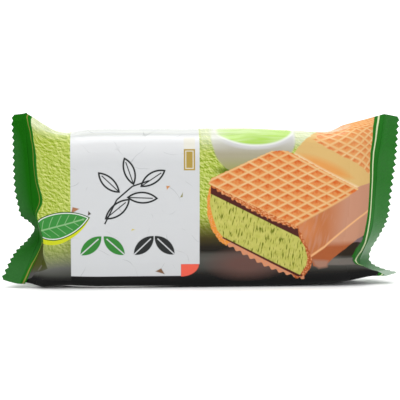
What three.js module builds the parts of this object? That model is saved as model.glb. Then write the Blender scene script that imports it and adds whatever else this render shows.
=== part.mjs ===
// A frozen wafer bar in its sealed flow-wrap pack, standing on one long narrow side.
// Millimetres, +Z up. The printed front faces -Y, the length runs along X, and the
// origin lies on the ground under the middle of the pack's box.
import * as THREE from "three";

// ---------------------------------------------------------------- driving dimensions

const BODY = {
  height: 72.4, // from the ground to the top of the wrapped bar
  depth: 28, // the bar's thickness with its film
  topRadius: 7,
  bottomRadius: 5,
  crown: 0.7, // how far the wide faces bulge
  left: -61, // the section's form is whole between these two
  right: 56,
  fullFrom: -44, // the section keeps its full height between these two
  fullTo: 12,
  endDrop: 1.9, // the top falls by this much at either end
  endLift: 0.9, // and the foot rises by this much
};

const SEAL = {
  thickness: 0.8, // the two films welded together
  toothCount: 33, // along one end seal
  toothDepth: 1.0,
};

const FIN = {
  fromTooth: 14, // the long seam lies flat down the back, opposite these teeth
  toTooth: 18,
  rise: 0.7, // how far it stands off the back
};

// Each end seal is a band between two lines, given from its top to its bottom. The inner
// line is where the films meet, and the outer one joins the tips of the teeth. The band
// stands upright above, buckles at a waist and splays out over the ground below.
const LEFT_SEAL = {
  side: -1,
  inner: [
    [-80.3, 1, 79.7], [-79.5, -2, 68.1], [-78.5, -3, 55.8], [-77.6, -4, 44.4],
    [-76.8, -4, 35.2], [-75.5, 2, 29.2], [-75, 4, 25.3], [-74.9, 2, 20.8],
    [-77, -3, 15.4], [-79.5, -8.3, 9], [-82.4, -10.5, 2.2],
  ],
  outer: [
    [-87.5, 7, 78.8], [-86.7, 4.5, 68], [-86.4, 2.5, 55.6], [-85.8, 1.5, 44.1],
    [-84, 3, 34.3], [-79, 11, 27.7], [-77.8, 13, 24.8], [-80, 10, 21.1],
    [-86.1, 1, 15.3], [-89.1, -5, 9.5], [-91.4, -8, 4.2],
  ],
  // Where the film folds back from the wide faces to the seal. The first number is the
  // place along the seal that each point belongs to.
  frontShoulder: [
    [0, -70, 0, 73.8], [0.055, -72.5, -8.4, 72], [0.12, -74.6, -10.4, 65.8],
    [0.33, -74.3, -11.2, 49.2], [0.45, -72.3, -11.6, 39.4], [0.53, -74.8, -10.2, 33.2],
    [0.64, -72.4, -12, 24.4], [0.8, -71, -12.8, 16.4], [0.93, -69.9, -13.2, 9.2],
    [0.97, -72, -11.4, 1], [1, -72, -1, 0.6],
  ],
  backShoulder: [
    [0, -70, 0, 73.8], [0.07, -71.5, 8, 71.2], [0.14, -73, 10.6, 64.4],
    [0.33, -73.4, 11.5, 48.4], [0.6, -72.6, 11.6, 27.4], [0.86, -72.6, 12, 8.4],
    [0.93, -72, 9.5, 1.2], [1, -72, -1, 0.6],
  ],
  // Pairs of a place along the seal and the place round the body that it draws from.
  frontPairs: [[0, 0], [0.055, 0.12], [0.33, 0.35], [0.64, 0.62], [0.93, 0.77], [0.97, 0.9], [1, 1]],
  backPairs: [[0, 0], [0.07, 0.12], [0.93, 0.88], [1, 1]],
};

const RIGHT_SEAL = {
  side: 1,
  inner: [
    [86.3, 0, 79.1], [84.8, -1, 67], [83.2, -2, 57.6], [82.4, -3, 48.3],
    [81.8, -3, 39], [81.6, -2, 31.9], [81.2, 0, 25.6], [79.8, 2, 19.7],
    [77.7, 4, 13.7], [76, 3, 10.1], [78, -1, 6.6], [86, -10, 4.4],
  ],
  outer: [
    [94.9, 5, 77.7], [93.6, 2, 66.9], [92.3, -1, 57.6], [90.9, -2, 48.5],
    [89.8, -2, 39.8], [89.3, 0, 31.2], [88.2, 4, 25.6], [85.9, 8.5, 19.5],
    [83.5, 12, 13.7], [82.8, 10.5, 9], [86, 4, 6.4], [92.9, -4, 5],
  ],
  frontShoulder: [
    [0, 66.5, 0, 74], [0.06, 69.5, -8, 71.8], [0.14, 73, -9.4, 65.4],
    [0.34, 74, -9.8, 49.4], [0.55, 73.4, -10.2, 32.4], [0.74, 71.6, -10.8, 17.8],
    [0.86, 71, -10.4, 12], [0.93, 74.6, -12, 7.8], [0.97, 76, -11, 1.8], [1, 76, -3, 1],
  ],
  backShoulder: [
    [0, 66.5, 0, 74], [0.07, 69, 8, 71.2], [0.14, 71.4, 10.4, 64.4],
    [0.33, 72.4, 11.2, 48.4], [0.6, 71.6, 11.6, 27.4], [0.86, 70.4, 12, 8.4],
    [0.93, 72, 8.5, 1.2], [1, 76, -3, 1],
  ],
  frontPairs: [[0, 0], [0.06, 0.12], [0.34, 0.35], [0.74, 0.7], [0.93, 0.78], [0.97, 0.9], [1, 1]],
  backPairs: [[0, 0], [0.07, 0.12], [0.93, 0.88], [1, 1]],
};

const ROWS = { body: 12, shoulder: 5, throat: 4 }; // rows of faces along each stretch

// Where the film turns tightly, round the bar's top and foot, each tooth's width of it is
// split into this many columns of faces.
const FINE = { split: 3, topTeeth: 3, footTeeth: 5 };

// ---------------------------------------------------------------- small helpers

const FRONT = -1;
const BACK = 1;

// The value at a place in a rising list of [place, value] pairs, straight between them.
function lookUp(pairs, place) {
  const next = Math.max(1, pairs.findIndex(([at]) => at >= place));
  const [a, from] = pairs[next - 1];
  const [b, to] = pairs[next];
  return THREE.MathUtils.mapLinear(place, a, b, from, to);
}

// A smooth curve through points that each name their own place along it.
function railThrough(stops) {
  const curve = new THREE.CatmullRomCurve3(
    stops.map(([, x, y, z]) => new THREE.Vector3(x, y, z)), false, "centripetal");
  const share = stops.map(([at], index) => [at, index / (stops.length - 1)]);
  return (place) => curve.getPoint(lookUp(share, place));
}

// ---------------------------------------------------------------- the wrapped bar

// The body's half section from the middle of its top to the middle of its foot, by the
// share of the way round: a rounded oblong whose wide face is slightly crowned.
function sectionPoint(share, side, height, lift) {
  const { depth, topRadius, bottomRadius, crown } = BODY;
  const half = depth / 2;
  const lengths = [
    half - topRadius, (topRadius * Math.PI) / 2, height - topRadius - bottomRadius,
    (bottomRadius * Math.PI) / 2, half - bottomRadius,
  ];
  let rest = share * lengths.reduce((sum, length) => sum + length);
  let stretch = 0;
  while (stretch < 4 && rest > lengths[stretch]) rest -= lengths[stretch++];
  const turn = rest / (stretch === 1 ? topRadius : bottomRadius);
  const [y, z] = [
    () => [rest, height],
    () => [half - topRadius * (1 - Math.sin(turn)), height - topRadius * (1 - Math.cos(turn))],
    () => [half + crown * Math.sin((Math.PI * rest) / lengths[2]), height - topRadius - rest],
    () => [half - bottomRadius * (1 - Math.cos(turn)), bottomRadius * (1 - Math.sin(turn))],
    () => [half - bottomRadius - rest, 0],
  ][stretch]();
  return { y: side * y, z: lift + z };
}

// How far a place along the body lies past its full section, from 0 to 1 at the end.
function endShare(x) {
  const { left, right, fullFrom, fullTo } = BODY;
  return Math.max(0, (fullFrom - x) / (fullFrom - left), (x - fullTo) / (right - fullTo));
}

function bodyPoint(x, share, side) {
  const end = endShare(x) ** 2;
  const lift = BODY.endLift * end;
  const { y, z } = sectionPoint(share, side, BODY.height - BODY.endDrop * end - lift, lift);
  return new THREE.Vector3(x, y, z);
}

// ---------------------------------------------------------------- the end seals

// One end of the pack: the welded band, and the film between it and the body.
class PackEnd {
  constructor({ side, inner, outer, frontShoulder, backShoulder, frontPairs, backPairs }) {
    const smooth = (points) =>
      new THREE.CatmullRomCurve3(points.map((p) => new THREE.Vector3(...p)), false, "centripetal");
    this.side = side;
    this.inner = smooth(inner);
    this.outer = smooth(outer);
    this.shoulders = { [FRONT]: railThrough(frontShoulder), [BACK]: railThrough(backShoulder) };
    this.pairs = { [FRONT]: frontPairs, [BACK]: backPairs };
  }

  // The place round the body that the film at a place along the seal comes from.
  bodyShare(place, face) {
    return lookUp(this.pairs[face], place);
  }

  // The band's front normal and its outward direction at a place along the seal.
  bandFrame(place) {
    const out = this.outer.getPointAt(place).sub(this.inner.getPointAt(place)).normalize();
    const down = this.inner.getTangentAt(place).add(this.outer.getTangentAt(place));
    const normal = down.cross(out).multiplyScalar(this.side).normalize();
    return { out, normal };
  }

  // A point of the band, from 0 at the inner line to 1 at the foot of the teeth. The two
  // faces of the band meet where its top and bottom are folded.
  bandPoint(across, place, face) {
    const { out, normal } = this.bandFrame(place);
    const inner = this.inner.getPointAt(place);
    const root = this.outer.getPointAt(place).addScaledVector(out, -SEAL.toothDepth);
    const folded = place <= 0 || place >= 1;
    const offset = folded ? 0 : (-face * SEAL.thickness) / 2;
    return inner.lerp(root, across).addScaledVector(normal, offset);
  }

  toothTip(place, face) {
    const { out, normal } = this.bandFrame(place);
    return this.bandPoint(1, place, 0)
      .addScaledVector(out, SEAL.toothDepth)
      .addScaledVector(normal, (-face * SEAL.thickness) / 2);
  }

  // The film from the shoulder fold (0) to the inner line of the seal (1).
  throatPoint(across, place, face) {
    return this.shoulders[face](place).lerp(this.bandPoint(0, place, face), across);
  }

  // The film from the body's end (0) to the shoulder fold (1). It leaves the body level.
  shoulderPoint(across, place, face) {
    const end = this.side < 0 ? BODY.left : BODY.right;
    const from = bodyPoint(end, this.bodyShare(place, face), face);
    const to = this.shoulders[face](place);
    const knee = new THREE.Vector3((from.x + to.x) / 2, from.y, from.z);
    return new THREE.QuadraticBezierCurve3(from, knee, to).getPoint(across);
  }
}

const leftEnd = new PackEnd(LEFT_SEAL);
const rightEnd = new PackEnd(RIGHT_SEAL);

// ---------------------------------------------------------------- the whole film

const steps = (count, from = 0) =>
  Array.from({ length: count + 1 - from }, (_, index) => (index + from) / count);

// The film as a list of rows from the left teeth to the right ones. Each row is a
// function of a place along the seals and a face.
function filmRows() {
  const endRows = (end) => [
    (place, face) => end.bandPoint(1, place, face),
    ...steps(ROWS.throat).reverse().map((v) => (place, face) => end.throatPoint(v, place, face)),
    ...steps(ROWS.shoulder).reverse().slice(1)
      .map((v) => (place, face) => end.shoulderPoint(v, place, face)),
  ];
  const bodyRows = steps(ROWS.body).slice(1, -1).map((along) => (place, face) => {
    const x = THREE.MathUtils.lerp(BODY.left, BODY.right, along);
    const share = THREE.MathUtils.lerp(
      leftEnd.bodyShare(place, face), rightEnd.bodyShare(place, face), along);
    return bodyPoint(x, share, face);
  });
  return [...endRows(leftEnd), ...bodyRows, ...endRows(rightEnd).reverse()];
}

// The places of the columns along one tooth, without the last.
function toothPlaces(tooth) {
  const { split, topTeeth, footTeeth } = FINE;
  const fine = tooth < topTeeth || tooth >= SEAL.toothCount - footTeeth;
  return steps(fine ? split : 1).slice(0, -1).map((part) => (tooth + part) / SEAL.toothCount);
}

// The columns along one face, from the top fold to the bottom one. The edges of the long
// seam are two columns at one place, one of them raised.
function faceColumns(face) {
  const isRaised = (tooth) => face === BACK && tooth >= FIN.fromTooth && tooth < FIN.toTooth;
  const made = [];
  for (let tooth = 0; tooth < SEAL.toothCount; tooth++) {
    const raised = isRaised(tooth);
    const start = tooth / SEAL.toothCount;
    if (raised !== isRaised(tooth - 1)) made.push({ place: start, face, raised: !raised });
    made.push(...toothPlaces(tooth).map((place) => ({ place, face, raised })));
  }
  return [...made, { place: 1, face, raised: false }];
}

const front = faceColumns(FRONT);
const back = faceColumns(BACK);
const columns = [...front, ...back.slice(1, -1).reverse()]; // once round the pack

// The number in the round of a column of either face.
function ringIndex(face, index) {
  if (face === FRONT || index === 0) return index;
  return front.length - 1 + (back.length - 1 - index);
}

// How far the back moves out where the long seam lies on it. At a fold the move follows
// the bisector, so that the seam keeps its thickness.
function seamOffset(rows, row, place) {
  const at = (index, where) => rows[index](where, BACK);
  const reach = 0.5 / SEAL.toothCount;
  const across = at(row, place + reach).sub(at(row, place - reach));
  const normals = [row - 1, row]
    .filter((start) => start >= 0 && start + 1 < rows.length)
    .map((start) => at(start + 1, place).sub(at(start, place)).cross(across).normalize());
  const middle = new THREE.Vector3().addVectors(normals[0], normals.at(-1)).normalize();
  return middle.multiplyScalar(FIN.rise / Math.max(0.6, middle.dot(normals[0])));
}

// Closes one end of the film with a row of teeth, each a thin wedge on the band's edge.
// The first point of the band's edge has the number given.
function addTeeth(end, points, triangles, start) {
  const add = (a, b, c) => triangles.push(end.side < 0 ? [a, b, c] : [a, c, b]);
  // The numbers of a face's points along one tooth, whose corners are never raised ones
  // where the seam steps up.
  const edgeOf = (face, tooth) => {
    const line = face === FRONT ? front : back;
    const cornerAt = (place) => {
      const low = line.findIndex((column) => column.place === place && !column.raised);
      return low >= 0 ? low : line.findIndex((column) => column.place === place);
    };
    const [from, to] = [tooth, tooth + 1].map((number) => cornerAt(number / SEAL.toothCount));
    return steps(to - from).map((part) => start + ringIndex(face, from + Math.round(part * (to - from))));
  };
  for (let tooth = 0; tooth < SEAL.toothCount; tooth++) {
    const middle = (tooth + 0.5) / SEAL.toothCount;
    const [frontTip, backTip] = [FRONT, BACK].map((face) => points.push(end.toothTip(middle, face)) - 1);
    const [frontEdge, backEdge] = [edgeOf(FRONT, tooth), edgeOf(BACK, tooth)];
    frontEdge.slice(1).forEach((corner, index) => add(corner, frontEdge[index], frontTip));
    backEdge.slice(1).forEach((corner, index) => add(backEdge[index], corner, backTip));
    const [frontFrom, frontTo, backFrom, backTo] =
      [frontEdge[0], frontEdge.at(-1), backEdge[0], backEdge.at(-1)];
    add(frontFrom, backFrom, backTip);
    add(frontFrom, backTip, frontTip);
    add(backTo, frontTo, frontTip);
    add(backTo, frontTip, backTip);
  }
}

function filmGeometry() {
  const around = columns.length;
  const rows = filmRows();
  const points = rows.flatMap((row, index) =>
    columns.map(({ place, face, raised }) => {
      const point = row(place, face);
      return raised ? point.add(seamOffset(rows, index, place)) : point;
    }));
  const triangles = [];
  for (let row = 0; row + 1 < rows.length; row++)
    for (let column = 0; column < around; column++) {
      const [a, b] = [row * around + column, row * around + ((column + 1) % around)];
      const [c, d] = [a + around, b + around];
      // The band's two faces are split along the same slant, so that they stay parallel,
      // and elsewhere each square of film folds along its shorter diagonal.
      const isBand = row === 0 || row === rows.length - 2;
      const slantsDown = isBand
        ? column < front.length - 1
        : points[a].distanceTo(points[d]) < points[b].distanceTo(points[c]);
      if (slantsDown) triangles.push([a, b, d], [a, d, c]);
      else triangles.push([a, b, c], [b, d, c]);
    }
  addTeeth(leftEnd, points, triangles, 0);
  addTeeth(rightEnd, points, triangles, (rows.length - 1) * around);

  const geometry = new THREE.BufferGeometry();
  geometry.setAttribute(
    "position", new THREE.Float32BufferAttribute(points.flatMap((point) => point.toArray()), 3));
  geometry.setIndex(triangles.filter(([a, b, c]) => a !== b && b !== c && c !== a).flat());
  geometry.computeVertexNormals();
  return geometry;
}

// ---------------------------------------------------------------- the pack

const printedFilm = new THREE.MeshStandardMaterial({ color: "#9db23c", roughness: 0.35, metalness: 0 });

const pack = new THREE.Mesh(filmGeometry(), printedFilm);
pack.name = "pack";

// The origin goes to the middle of the foot of the pack's box.
pack.geometry.computeBoundingBox();
const middle = pack.geometry.boundingBox.getCenter(new THREE.Vector3());
pack.position.set(-middle.x, -middle.y, -pack.geometry.boundingBox.min.z);

const packedBar = new THREE.Group();
packedBar.add(pack);

export default packedBar;
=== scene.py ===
"""A frozen wafer bar in its sealed flow-wrap pack, standing on one long narrow side.

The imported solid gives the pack's size and place. Here its film is drawn finely over the
same folds: one wrap of printed film, two crimped end seals with zigzag edges, and the
long seam down the back. Lengths are millimetres of film until a mesh is finished.
"""

import logging
import math
from collections.abc import Sequence
from dataclasses import dataclass
from enum import Enum
from typing import Protocol

import bmesh
import bpy
import numpy as np
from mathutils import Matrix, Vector, noise


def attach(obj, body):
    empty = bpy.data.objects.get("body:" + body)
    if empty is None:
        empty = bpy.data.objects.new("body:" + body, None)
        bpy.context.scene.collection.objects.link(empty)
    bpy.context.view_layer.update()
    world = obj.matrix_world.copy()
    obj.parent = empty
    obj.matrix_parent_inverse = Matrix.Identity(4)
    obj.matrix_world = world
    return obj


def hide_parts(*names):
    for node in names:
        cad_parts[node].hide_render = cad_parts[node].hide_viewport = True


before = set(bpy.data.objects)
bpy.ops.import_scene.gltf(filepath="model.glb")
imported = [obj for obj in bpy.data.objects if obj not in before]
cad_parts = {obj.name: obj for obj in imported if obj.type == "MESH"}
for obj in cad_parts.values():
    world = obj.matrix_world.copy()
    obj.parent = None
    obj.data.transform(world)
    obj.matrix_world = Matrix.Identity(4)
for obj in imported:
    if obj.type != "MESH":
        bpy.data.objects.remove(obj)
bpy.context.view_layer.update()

LOG = logging.getLogger("wafer_bar_pack")

BODY = "root"
NODE = "pack"

MM = 0.001
# The film is measured from a point this far from the middle of the pack's box.
FILM_ZERO = np.array([-1.9823, -0.3498, 0.0])

FILM_MAP = "film"  # the map of places on the flat film, in millimetres
BAKE_MAP = "OFBake"  # the same places spread over a square
WELD_REACH = 1e-6  # points closer than this, in metres, become one

Point = tuple[float, float]
Point3 = tuple[float, float, float]
Pairs = tuple[Point, ...]


# ------------------------------------------------------------------ curves and folds


class Face(Enum):
    """The two wide faces of the pack, by the side of the bar that they lie on."""

    FRONT = -1
    BACK = 1


def look_up(pairs: Pairs, place: np.ndarray) -> np.ndarray:
    """Reads a rising list of pairs, straight between them.

    Args:
        pairs: Places and the value at each.
        place: The places to read.

    Returns:
        The value at each place.
    """
    places, values = zip(*pairs)
    return np.interp(place, places, values)


def smooth_track(points: Sequence[Point3], steps: int = 48) -> np.ndarray:
    """Draws a centripetal spline through points.

    Args:
        points: What the spline passes through.
        steps: How many short steps each span has.

    Returns:
        The points of the steps, one row each.
    """
    knots = np.array(points, float)
    knots = np.vstack([2 * knots[0] - knots[1], knots, 2 * knots[-1] - knots[-2]])
    share = np.linspace(0, 1, steps, endpoint=False)[:, None]
    spans = []
    for before, start, end, after in zip(knots, knots[1:], knots[2:], knots[3:]):
        lead, own, trail = (np.sqrt(np.linalg.norm(b - a)) for a, b in
                            ((before, start), (start, end), (end, after)))
        leave = (start - before) / lead - (end - before) / (lead + own) + (end - start) / own
        arrive = (end - start) / own - (after - start) / (own + trail) + (after - end) / trail
        leave, arrive = leave * own, arrive * own
        rise = end - start
        spans.append(start + leave * share + (3 * rise - 2 * leave - arrive) * share**2
                     + (leave + arrive - 2 * rise) * share**3)
    return np.vstack([*spans, knots[-2]])


class Rail:
    """A smooth line across the pack's end, read by a place from 0 at its top to 1."""

    def __init__(self, points: Sequence[Point3], places: Sequence[float] | None = None) -> None:
        """Draws the line.

        Args:
            points: What it passes through, from the top to the bottom.
            places: The place of each point. Without them, places go by length.
        """
        self.track = smooth_track(points)
        if places is None:
            lengths = np.linalg.norm(np.diff(self.track, axis=0), axis=1)
            self.places = np.concatenate([[0], np.cumsum(lengths)]) / lengths.sum()
        else:
            knots = np.linspace(0, 1, len(places))
            self.places = np.interp(np.linspace(0, 1, len(self.track)), knots, places)

    def at(self, place: np.ndarray) -> np.ndarray:
        """Returns the line's points at some places, one row each."""
        return np.stack([np.interp(place, self.places, axis) for axis in self.track.T], -1)


def unit(vectors: np.ndarray) -> np.ndarray:
    """Returns the vectors with a length of one."""
    return vectors / np.maximum(np.linalg.norm(vectors, axis=-1, keepdims=True), 1e-9)


def smooth_step(share: np.ndarray) -> np.ndarray:
    """Eases from 0 to 1 as the share does."""
    held = np.clip(share, 0, 1)
    return held * held * (3 - 2 * held)


# ------------------------------------------------------------------ the bar's own form


@dataclass(frozen=True)
class WrappedBar:
    """The bar with its film: a long rounded oblong whose wide faces are slightly crowned."""

    height: float = 72.4
    depth: float = 28.0
    top_radius: float = 7.0
    bottom_radius: float = 5.0
    crown: float = 0.7
    left: float = -61.0
    right: float = 56.0
    full_from: float = -44.0  # between these two it keeps its full section
    full_to: float = 12.0
    end_drop: float = 1.9  # how much lower its top is at an end
    end_lift: float = 0.9  # how far off the ground its foot is there

    def stretches(self, height: float | np.ndarray) -> list[np.ndarray | float]:
        """Measures half of the section.

        Args:
            height: How high it is there.

        Returns:
            The lengths of its flats and roundings, from its top to its foot.
        """
        half, quarter = self.depth / 2, math.pi / 2
        return [half - self.top_radius, self.top_radius * quarter,
                height - self.top_radius - self.bottom_radius,
                self.bottom_radius * quarter, half - self.bottom_radius]

    @property
    def half_round(self) -> float:
        """The length of film round half of the bar."""
        return float(sum(self.stretches(self.height)))

    def point(self, x: np.ndarray, share: np.ndarray, face: Face) -> np.ndarray:
        """Places film on the bar.

        Args:
            x: Places along the bar.
            share: Shares of the way round from the top to the foot.
            face: The side of the bar.

        Returns:
            The points of the film.
        """
        x, share = np.broadcast_arrays(x, share)
        before = (self.full_from - x) / (self.full_from - self.left)
        after = (x - self.full_to) / (self.right - self.full_to)
        past = np.maximum.reduce([np.zeros_like(x), before, after]) ** 2
        lift = self.end_lift * past
        height = self.height - self.end_drop * past - lift
        lengths = self.stretches(height)
        ends = np.cumsum(np.stack([np.broadcast_to(n, x.shape) for n in lengths]), axis=0)
        run = share * ends[-1]
        half = self.depth / 2
        over = (run - ends[0]) / self.top_radius
        down = run - ends[1]
        under = (run - ends[2]) / self.bottom_radius
        bulge = self.crown * np.sin(np.pi * np.clip(down / lengths[2], 0, 1))
        stretch = [run <= ends[0], run <= ends[1], run <= ends[2], run <= ends[3]]
        y = np.select(stretch, [run, half - self.top_radius * (1 - np.sin(over)), half + bulge,
                                half - self.bottom_radius * (1 - np.cos(under))], ends[4] - run)
        z = np.select(stretch, [height, height - self.top_radius * (1 - np.cos(over)),
                                height - self.top_radius - down,
                                self.bottom_radius * (1 - np.sin(under))], 0.0)
        return np.stack([x, face.value * y, z + lift], -1)


# ------------------------------------------------------------------ the pack's ends


@dataclass(frozen=True)
class FoldLine:
    """Where the film of one wide face turns back towards the seal.

    Each stop is a place along the seal and the fold's point there. The pairs say which
    share of the way round the bar the film at a place comes from, and how far along the
    film the fold lies.
    """

    stops: tuple[tuple[float, float, float, float], ...]
    shares: Pairs
    film: Pairs

    def rail(self) -> Rail:
        """Returns the fold as a smooth line."""
        return Rail([stop[1:] for stop in self.stops], [stop[0] for stop in self.stops])


@dataclass(frozen=True)
class PackEnd:
    """One end of the pack: the welded band, and the film that narrows into it."""

    side: int  # -1 at the left and 1 at the right
    bar_end: float
    inner: tuple[Point3, ...]  # the weld's line, from its top to its foot
    outer: tuple[Point3, ...]  # the line through the tips of the teeth
    folds: dict[Face, FoldLine]
    weld_film: Pairs  # how far along the film the weld lies, by the place along the seal
    tooth_depth: float = 1.35

    def band(self) -> tuple[Rail, Rail]:
        """Returns the band's inner line and the line through the tips of its teeth."""
        return Rail(self.inner), Rail(self.outer)

    def band_frame(self, place: np.ndarray) -> tuple[np.ndarray, np.ndarray, np.ndarray]:
        """Finds how the band lies.

        Args:
            place: Places along the seal.

        Returns:
            The inner line's points, the outward directions and the front normals.
        """
        inner, outer = self.band()
        step = 0.004
        ahead, behind = np.clip(place + step, 0, 1), np.clip(place - step, 0, 1)
        down = unit(inner.at(ahead) - inner.at(behind)) + unit(outer.at(ahead) - outer.at(behind))
        out = unit(outer.at(place) - inner.at(place))
        return inner.at(place), out, unit(self.side * np.cross(down, out))

    def film_rows(self, place: np.ndarray, face: Face, throat: int, shoulder: int,
                  bar: WrappedBar) -> tuple[np.ndarray, np.ndarray]:
        """Draws the film from the seal to the bar.

        Args:
            place: The places along the seal of the columns.
            face: The wide face that the film belongs to.
            throat: How many steps there are from the seal to the fold.
            shoulder: How many steps there are from the fold to the bar.
            bar: What the film leads to.

        Returns:
            The points by row and column, and how far along the film each lies.
        """
        fold = self.folds[face]
        crease = fold.rail().at(place)
        weld = self.band()[0].at(place)
        start = bar.point(np.full_like(place, self.bar_end), look_up(fold.shares, place), face)
        knee = np.stack([(start[:, 0] + crease[:, 0]) / 2, start[:, 1], start[:, 2]], -1)
        across = np.linspace(0, 1, throat, endpoint=False)[:, None, None]
        along = np.linspace(0, 1, shoulder, endpoint=False)[:, None, None]
        points = np.vstack([weld + (crease - weld) * across,
                            crease * (1 - along) ** 2 + 2 * knee * along * (1 - along)
                            + start * along**2])
        weld_film, fold_film = look_up(self.weld_film, place), look_up(fold.film, place)
        film = np.vstack([weld_film + (fold_film - weld_film) * across[..., 0],
                          fold_film + (self.bar_end - fold_film) * along[..., 0]])
        return points, film


LEFT_END = PackEnd(
    side=-1,
    bar_end=-61.0,
    inner=((-80.3, 1, 79.7), (-79.5, -2, 68.1), (-78.5, -3, 55.8), (-77.6, -4, 44.4),
           (-76.8, -4, 35.2), (-75.5, 2, 29.2), (-75, 4, 25.3), (-74.9, 2, 20.8),
           (-77, -3, 15.4), (-79.5, -8.3, 9), (-82.4, -10.5, 2.2)),
    outer=((-87.5, 7, 78.8), (-86.7, 4.5, 68), (-86.4, 2.5, 55.6), (-85.8, 1.5, 44.1),
           (-84.4, 3, 36.4), (-83.2, 5.5, 31.7), (-80, 9.5, 28.8), (-77.5, 13, 25),
           (-80, 10, 21.1), (-86.1, 1, 15.3), (-89.1, -5, 9.5), (-91.4, -8, 4.2)),
    folds={
        Face.FRONT: FoldLine(
            stops=((0, -70, 0, 73.8), (0.055, -72.5, -8.4, 72), (0.12, -74.6, -10.4, 65.8),
                   (0.33, -74.3, -11.2, 49.2), (0.45, -72.3, -11.6, 39.4),
                   (0.53, -74.8, -10.2, 33.2), (0.64, -72.4, -12, 24.4),
                   (0.8, -71, -12.8, 16.4), (0.93, -69.9, -13.2, 9.2),
                   (0.97, -72, -11.4, 1), (1, -72, -1, 0.6)),
            shares=((0, 0), (0.055, 0.12), (0.33, 0.35), (0.64, 0.62), (0.93, 0.77),
                    (0.97, 0.9), (1, 1)),
            film=((0, -65.7), (0.03, -66.5), (0.06, -68.2), (0.1, -71.4), (0.15, -74.2),
                  (0.2, -75.4), (0.65, -75.2), (0.72, -74.8), (0.76, -72), (0.8, -70.5),
                  (0.84, -70), (1, -69)),
        ),
        Face.BACK: FoldLine(
            stops=((0, -70, 0, 73.8), (0.07, -71.5, 8, 71.2), (0.14, -73, 10.6, 64.4),
                   (0.33, -73.4, 11.5, 48.4), (0.6, -72.6, 11.6, 27.4),
                   (0.86, -72.6, 12, 8.4), (0.93, -72, 9.5, 1.2), (1, -72, -1, 0.6)),
            shares=((0, 0), (0.07, 0.12), (0.93, 0.88), (1, 1)),
            film=((0, -65.7), (0.06, -70), (0.14, -75), (0.9, -75), (1, -69)),
        ),
    },
    weld_film=((0, -79.5), (0.02, -78.6), (0.06, -79.6), (0.1, -81.8), (0.15, -83.4),
               (0.2, -84.1), (0.65, -86), (0.76, -85.3), (0.8, -83), (0.84, -80.9),
               (0.88, -79.5), (0.92, -79), (1, -78.6)),
)

RIGHT_END = PackEnd(
    side=1,
    bar_end=56.0,
    inner=((86.3, 0, 79.1), (84.8, -1, 67), (83.2, -2, 57.6), (82.4, -3, 48.3),
           (81.8, -3, 39), (81.6, -2, 31.9), (81.2, 0, 25.6), (79.8, 2, 19.7),
           (77.7, 4, 13.7), (76, 3, 10.1), (76.8, 0, 7.0), (82.9, -4.5, 5.6), (86, -9, 4.1)),
    outer=((94.9, 5, 77.7), (93.6, 2, 66.9), (92.3, -1, 57.6), (90.9, -2, 48.5),
           (89.8, -2, 39.8), (89.3, 0, 31.2), (88.2, 4, 25.6), (85.9, 8.5, 19.5),
           (83.5, 12, 13.7), (82.8, 10.5, 9), (86, 4, 6.4), (92.9, -4, 5)),
    folds={
        Face.FRONT: FoldLine(
            stops=((0, 66.5, 0, 74), (0.06, 69.5, -8, 71.8), (0.14, 73, -9.4, 65.4),
                   (0.34, 74, -9.8, 49.4), (0.55, 73.4, -10.2, 32.4),
                   (0.74, 71.6, -10.8, 17.8), (0.86, 71, -10.4, 12), (0.93, 75, -12, 8.4),
                   (0.97, 77, -10.6, 4.4), (1, 77, -3, 3.2)),
            shares=((0, 0), (0.06, 0.12), (0.34, 0.35), (0.74, 0.7), (0.93, 0.78),
                    (0.97, 0.9), (1, 1)),
            film=((0, 64.4), (0.03, 66.2), (0.06, 69), (0.15, 72.2), (0.2, 73.6), (0.5, 73.8),
                  (0.6, 75.6), (0.7, 77.1), (0.75, 78.6), (0.8, 79.5), (0.85, 81), (0.9, 83),
                  (0.92, 78.5), (0.95, 76), (1, 74.3)),
        ),
        Face.BACK: FoldLine(
            stops=((0, 66.5, 0, 74), (0.07, 69, 8, 71.2), (0.14, 71.4, 10.4, 64.4),
                   (0.33, 72.4, 11.2, 48.4), (0.6, 71.6, 11.6, 27.4),
                   (0.86, 70.4, 12, 8.4), (0.93, 73, 8.5, 3), (1, 77, -3, 3.2)),
            shares=((0, 0), (0.07, 0.12), (0.93, 0.88), (1, 1)),
            film=((0, 64.4), (0.06, 69), (0.14, 73), (1, 75)),
        ),
    },
    weld_film=((0, 84.4), (0.06, 84.8), (0.15, 85.8), (0.5, 85.2), (0.6, 84.6), (0.7, 82.9),
               (0.75, 83), (0.8, 84.7), (0.85, 88), (0.9, 88), (0.92, 79.4), (0.945, 79.6),
               (0.96, 80.7), (0.98, 82.6), (1, 85)),
)


# ------------------------------------------------------------------ meshes of film


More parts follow.
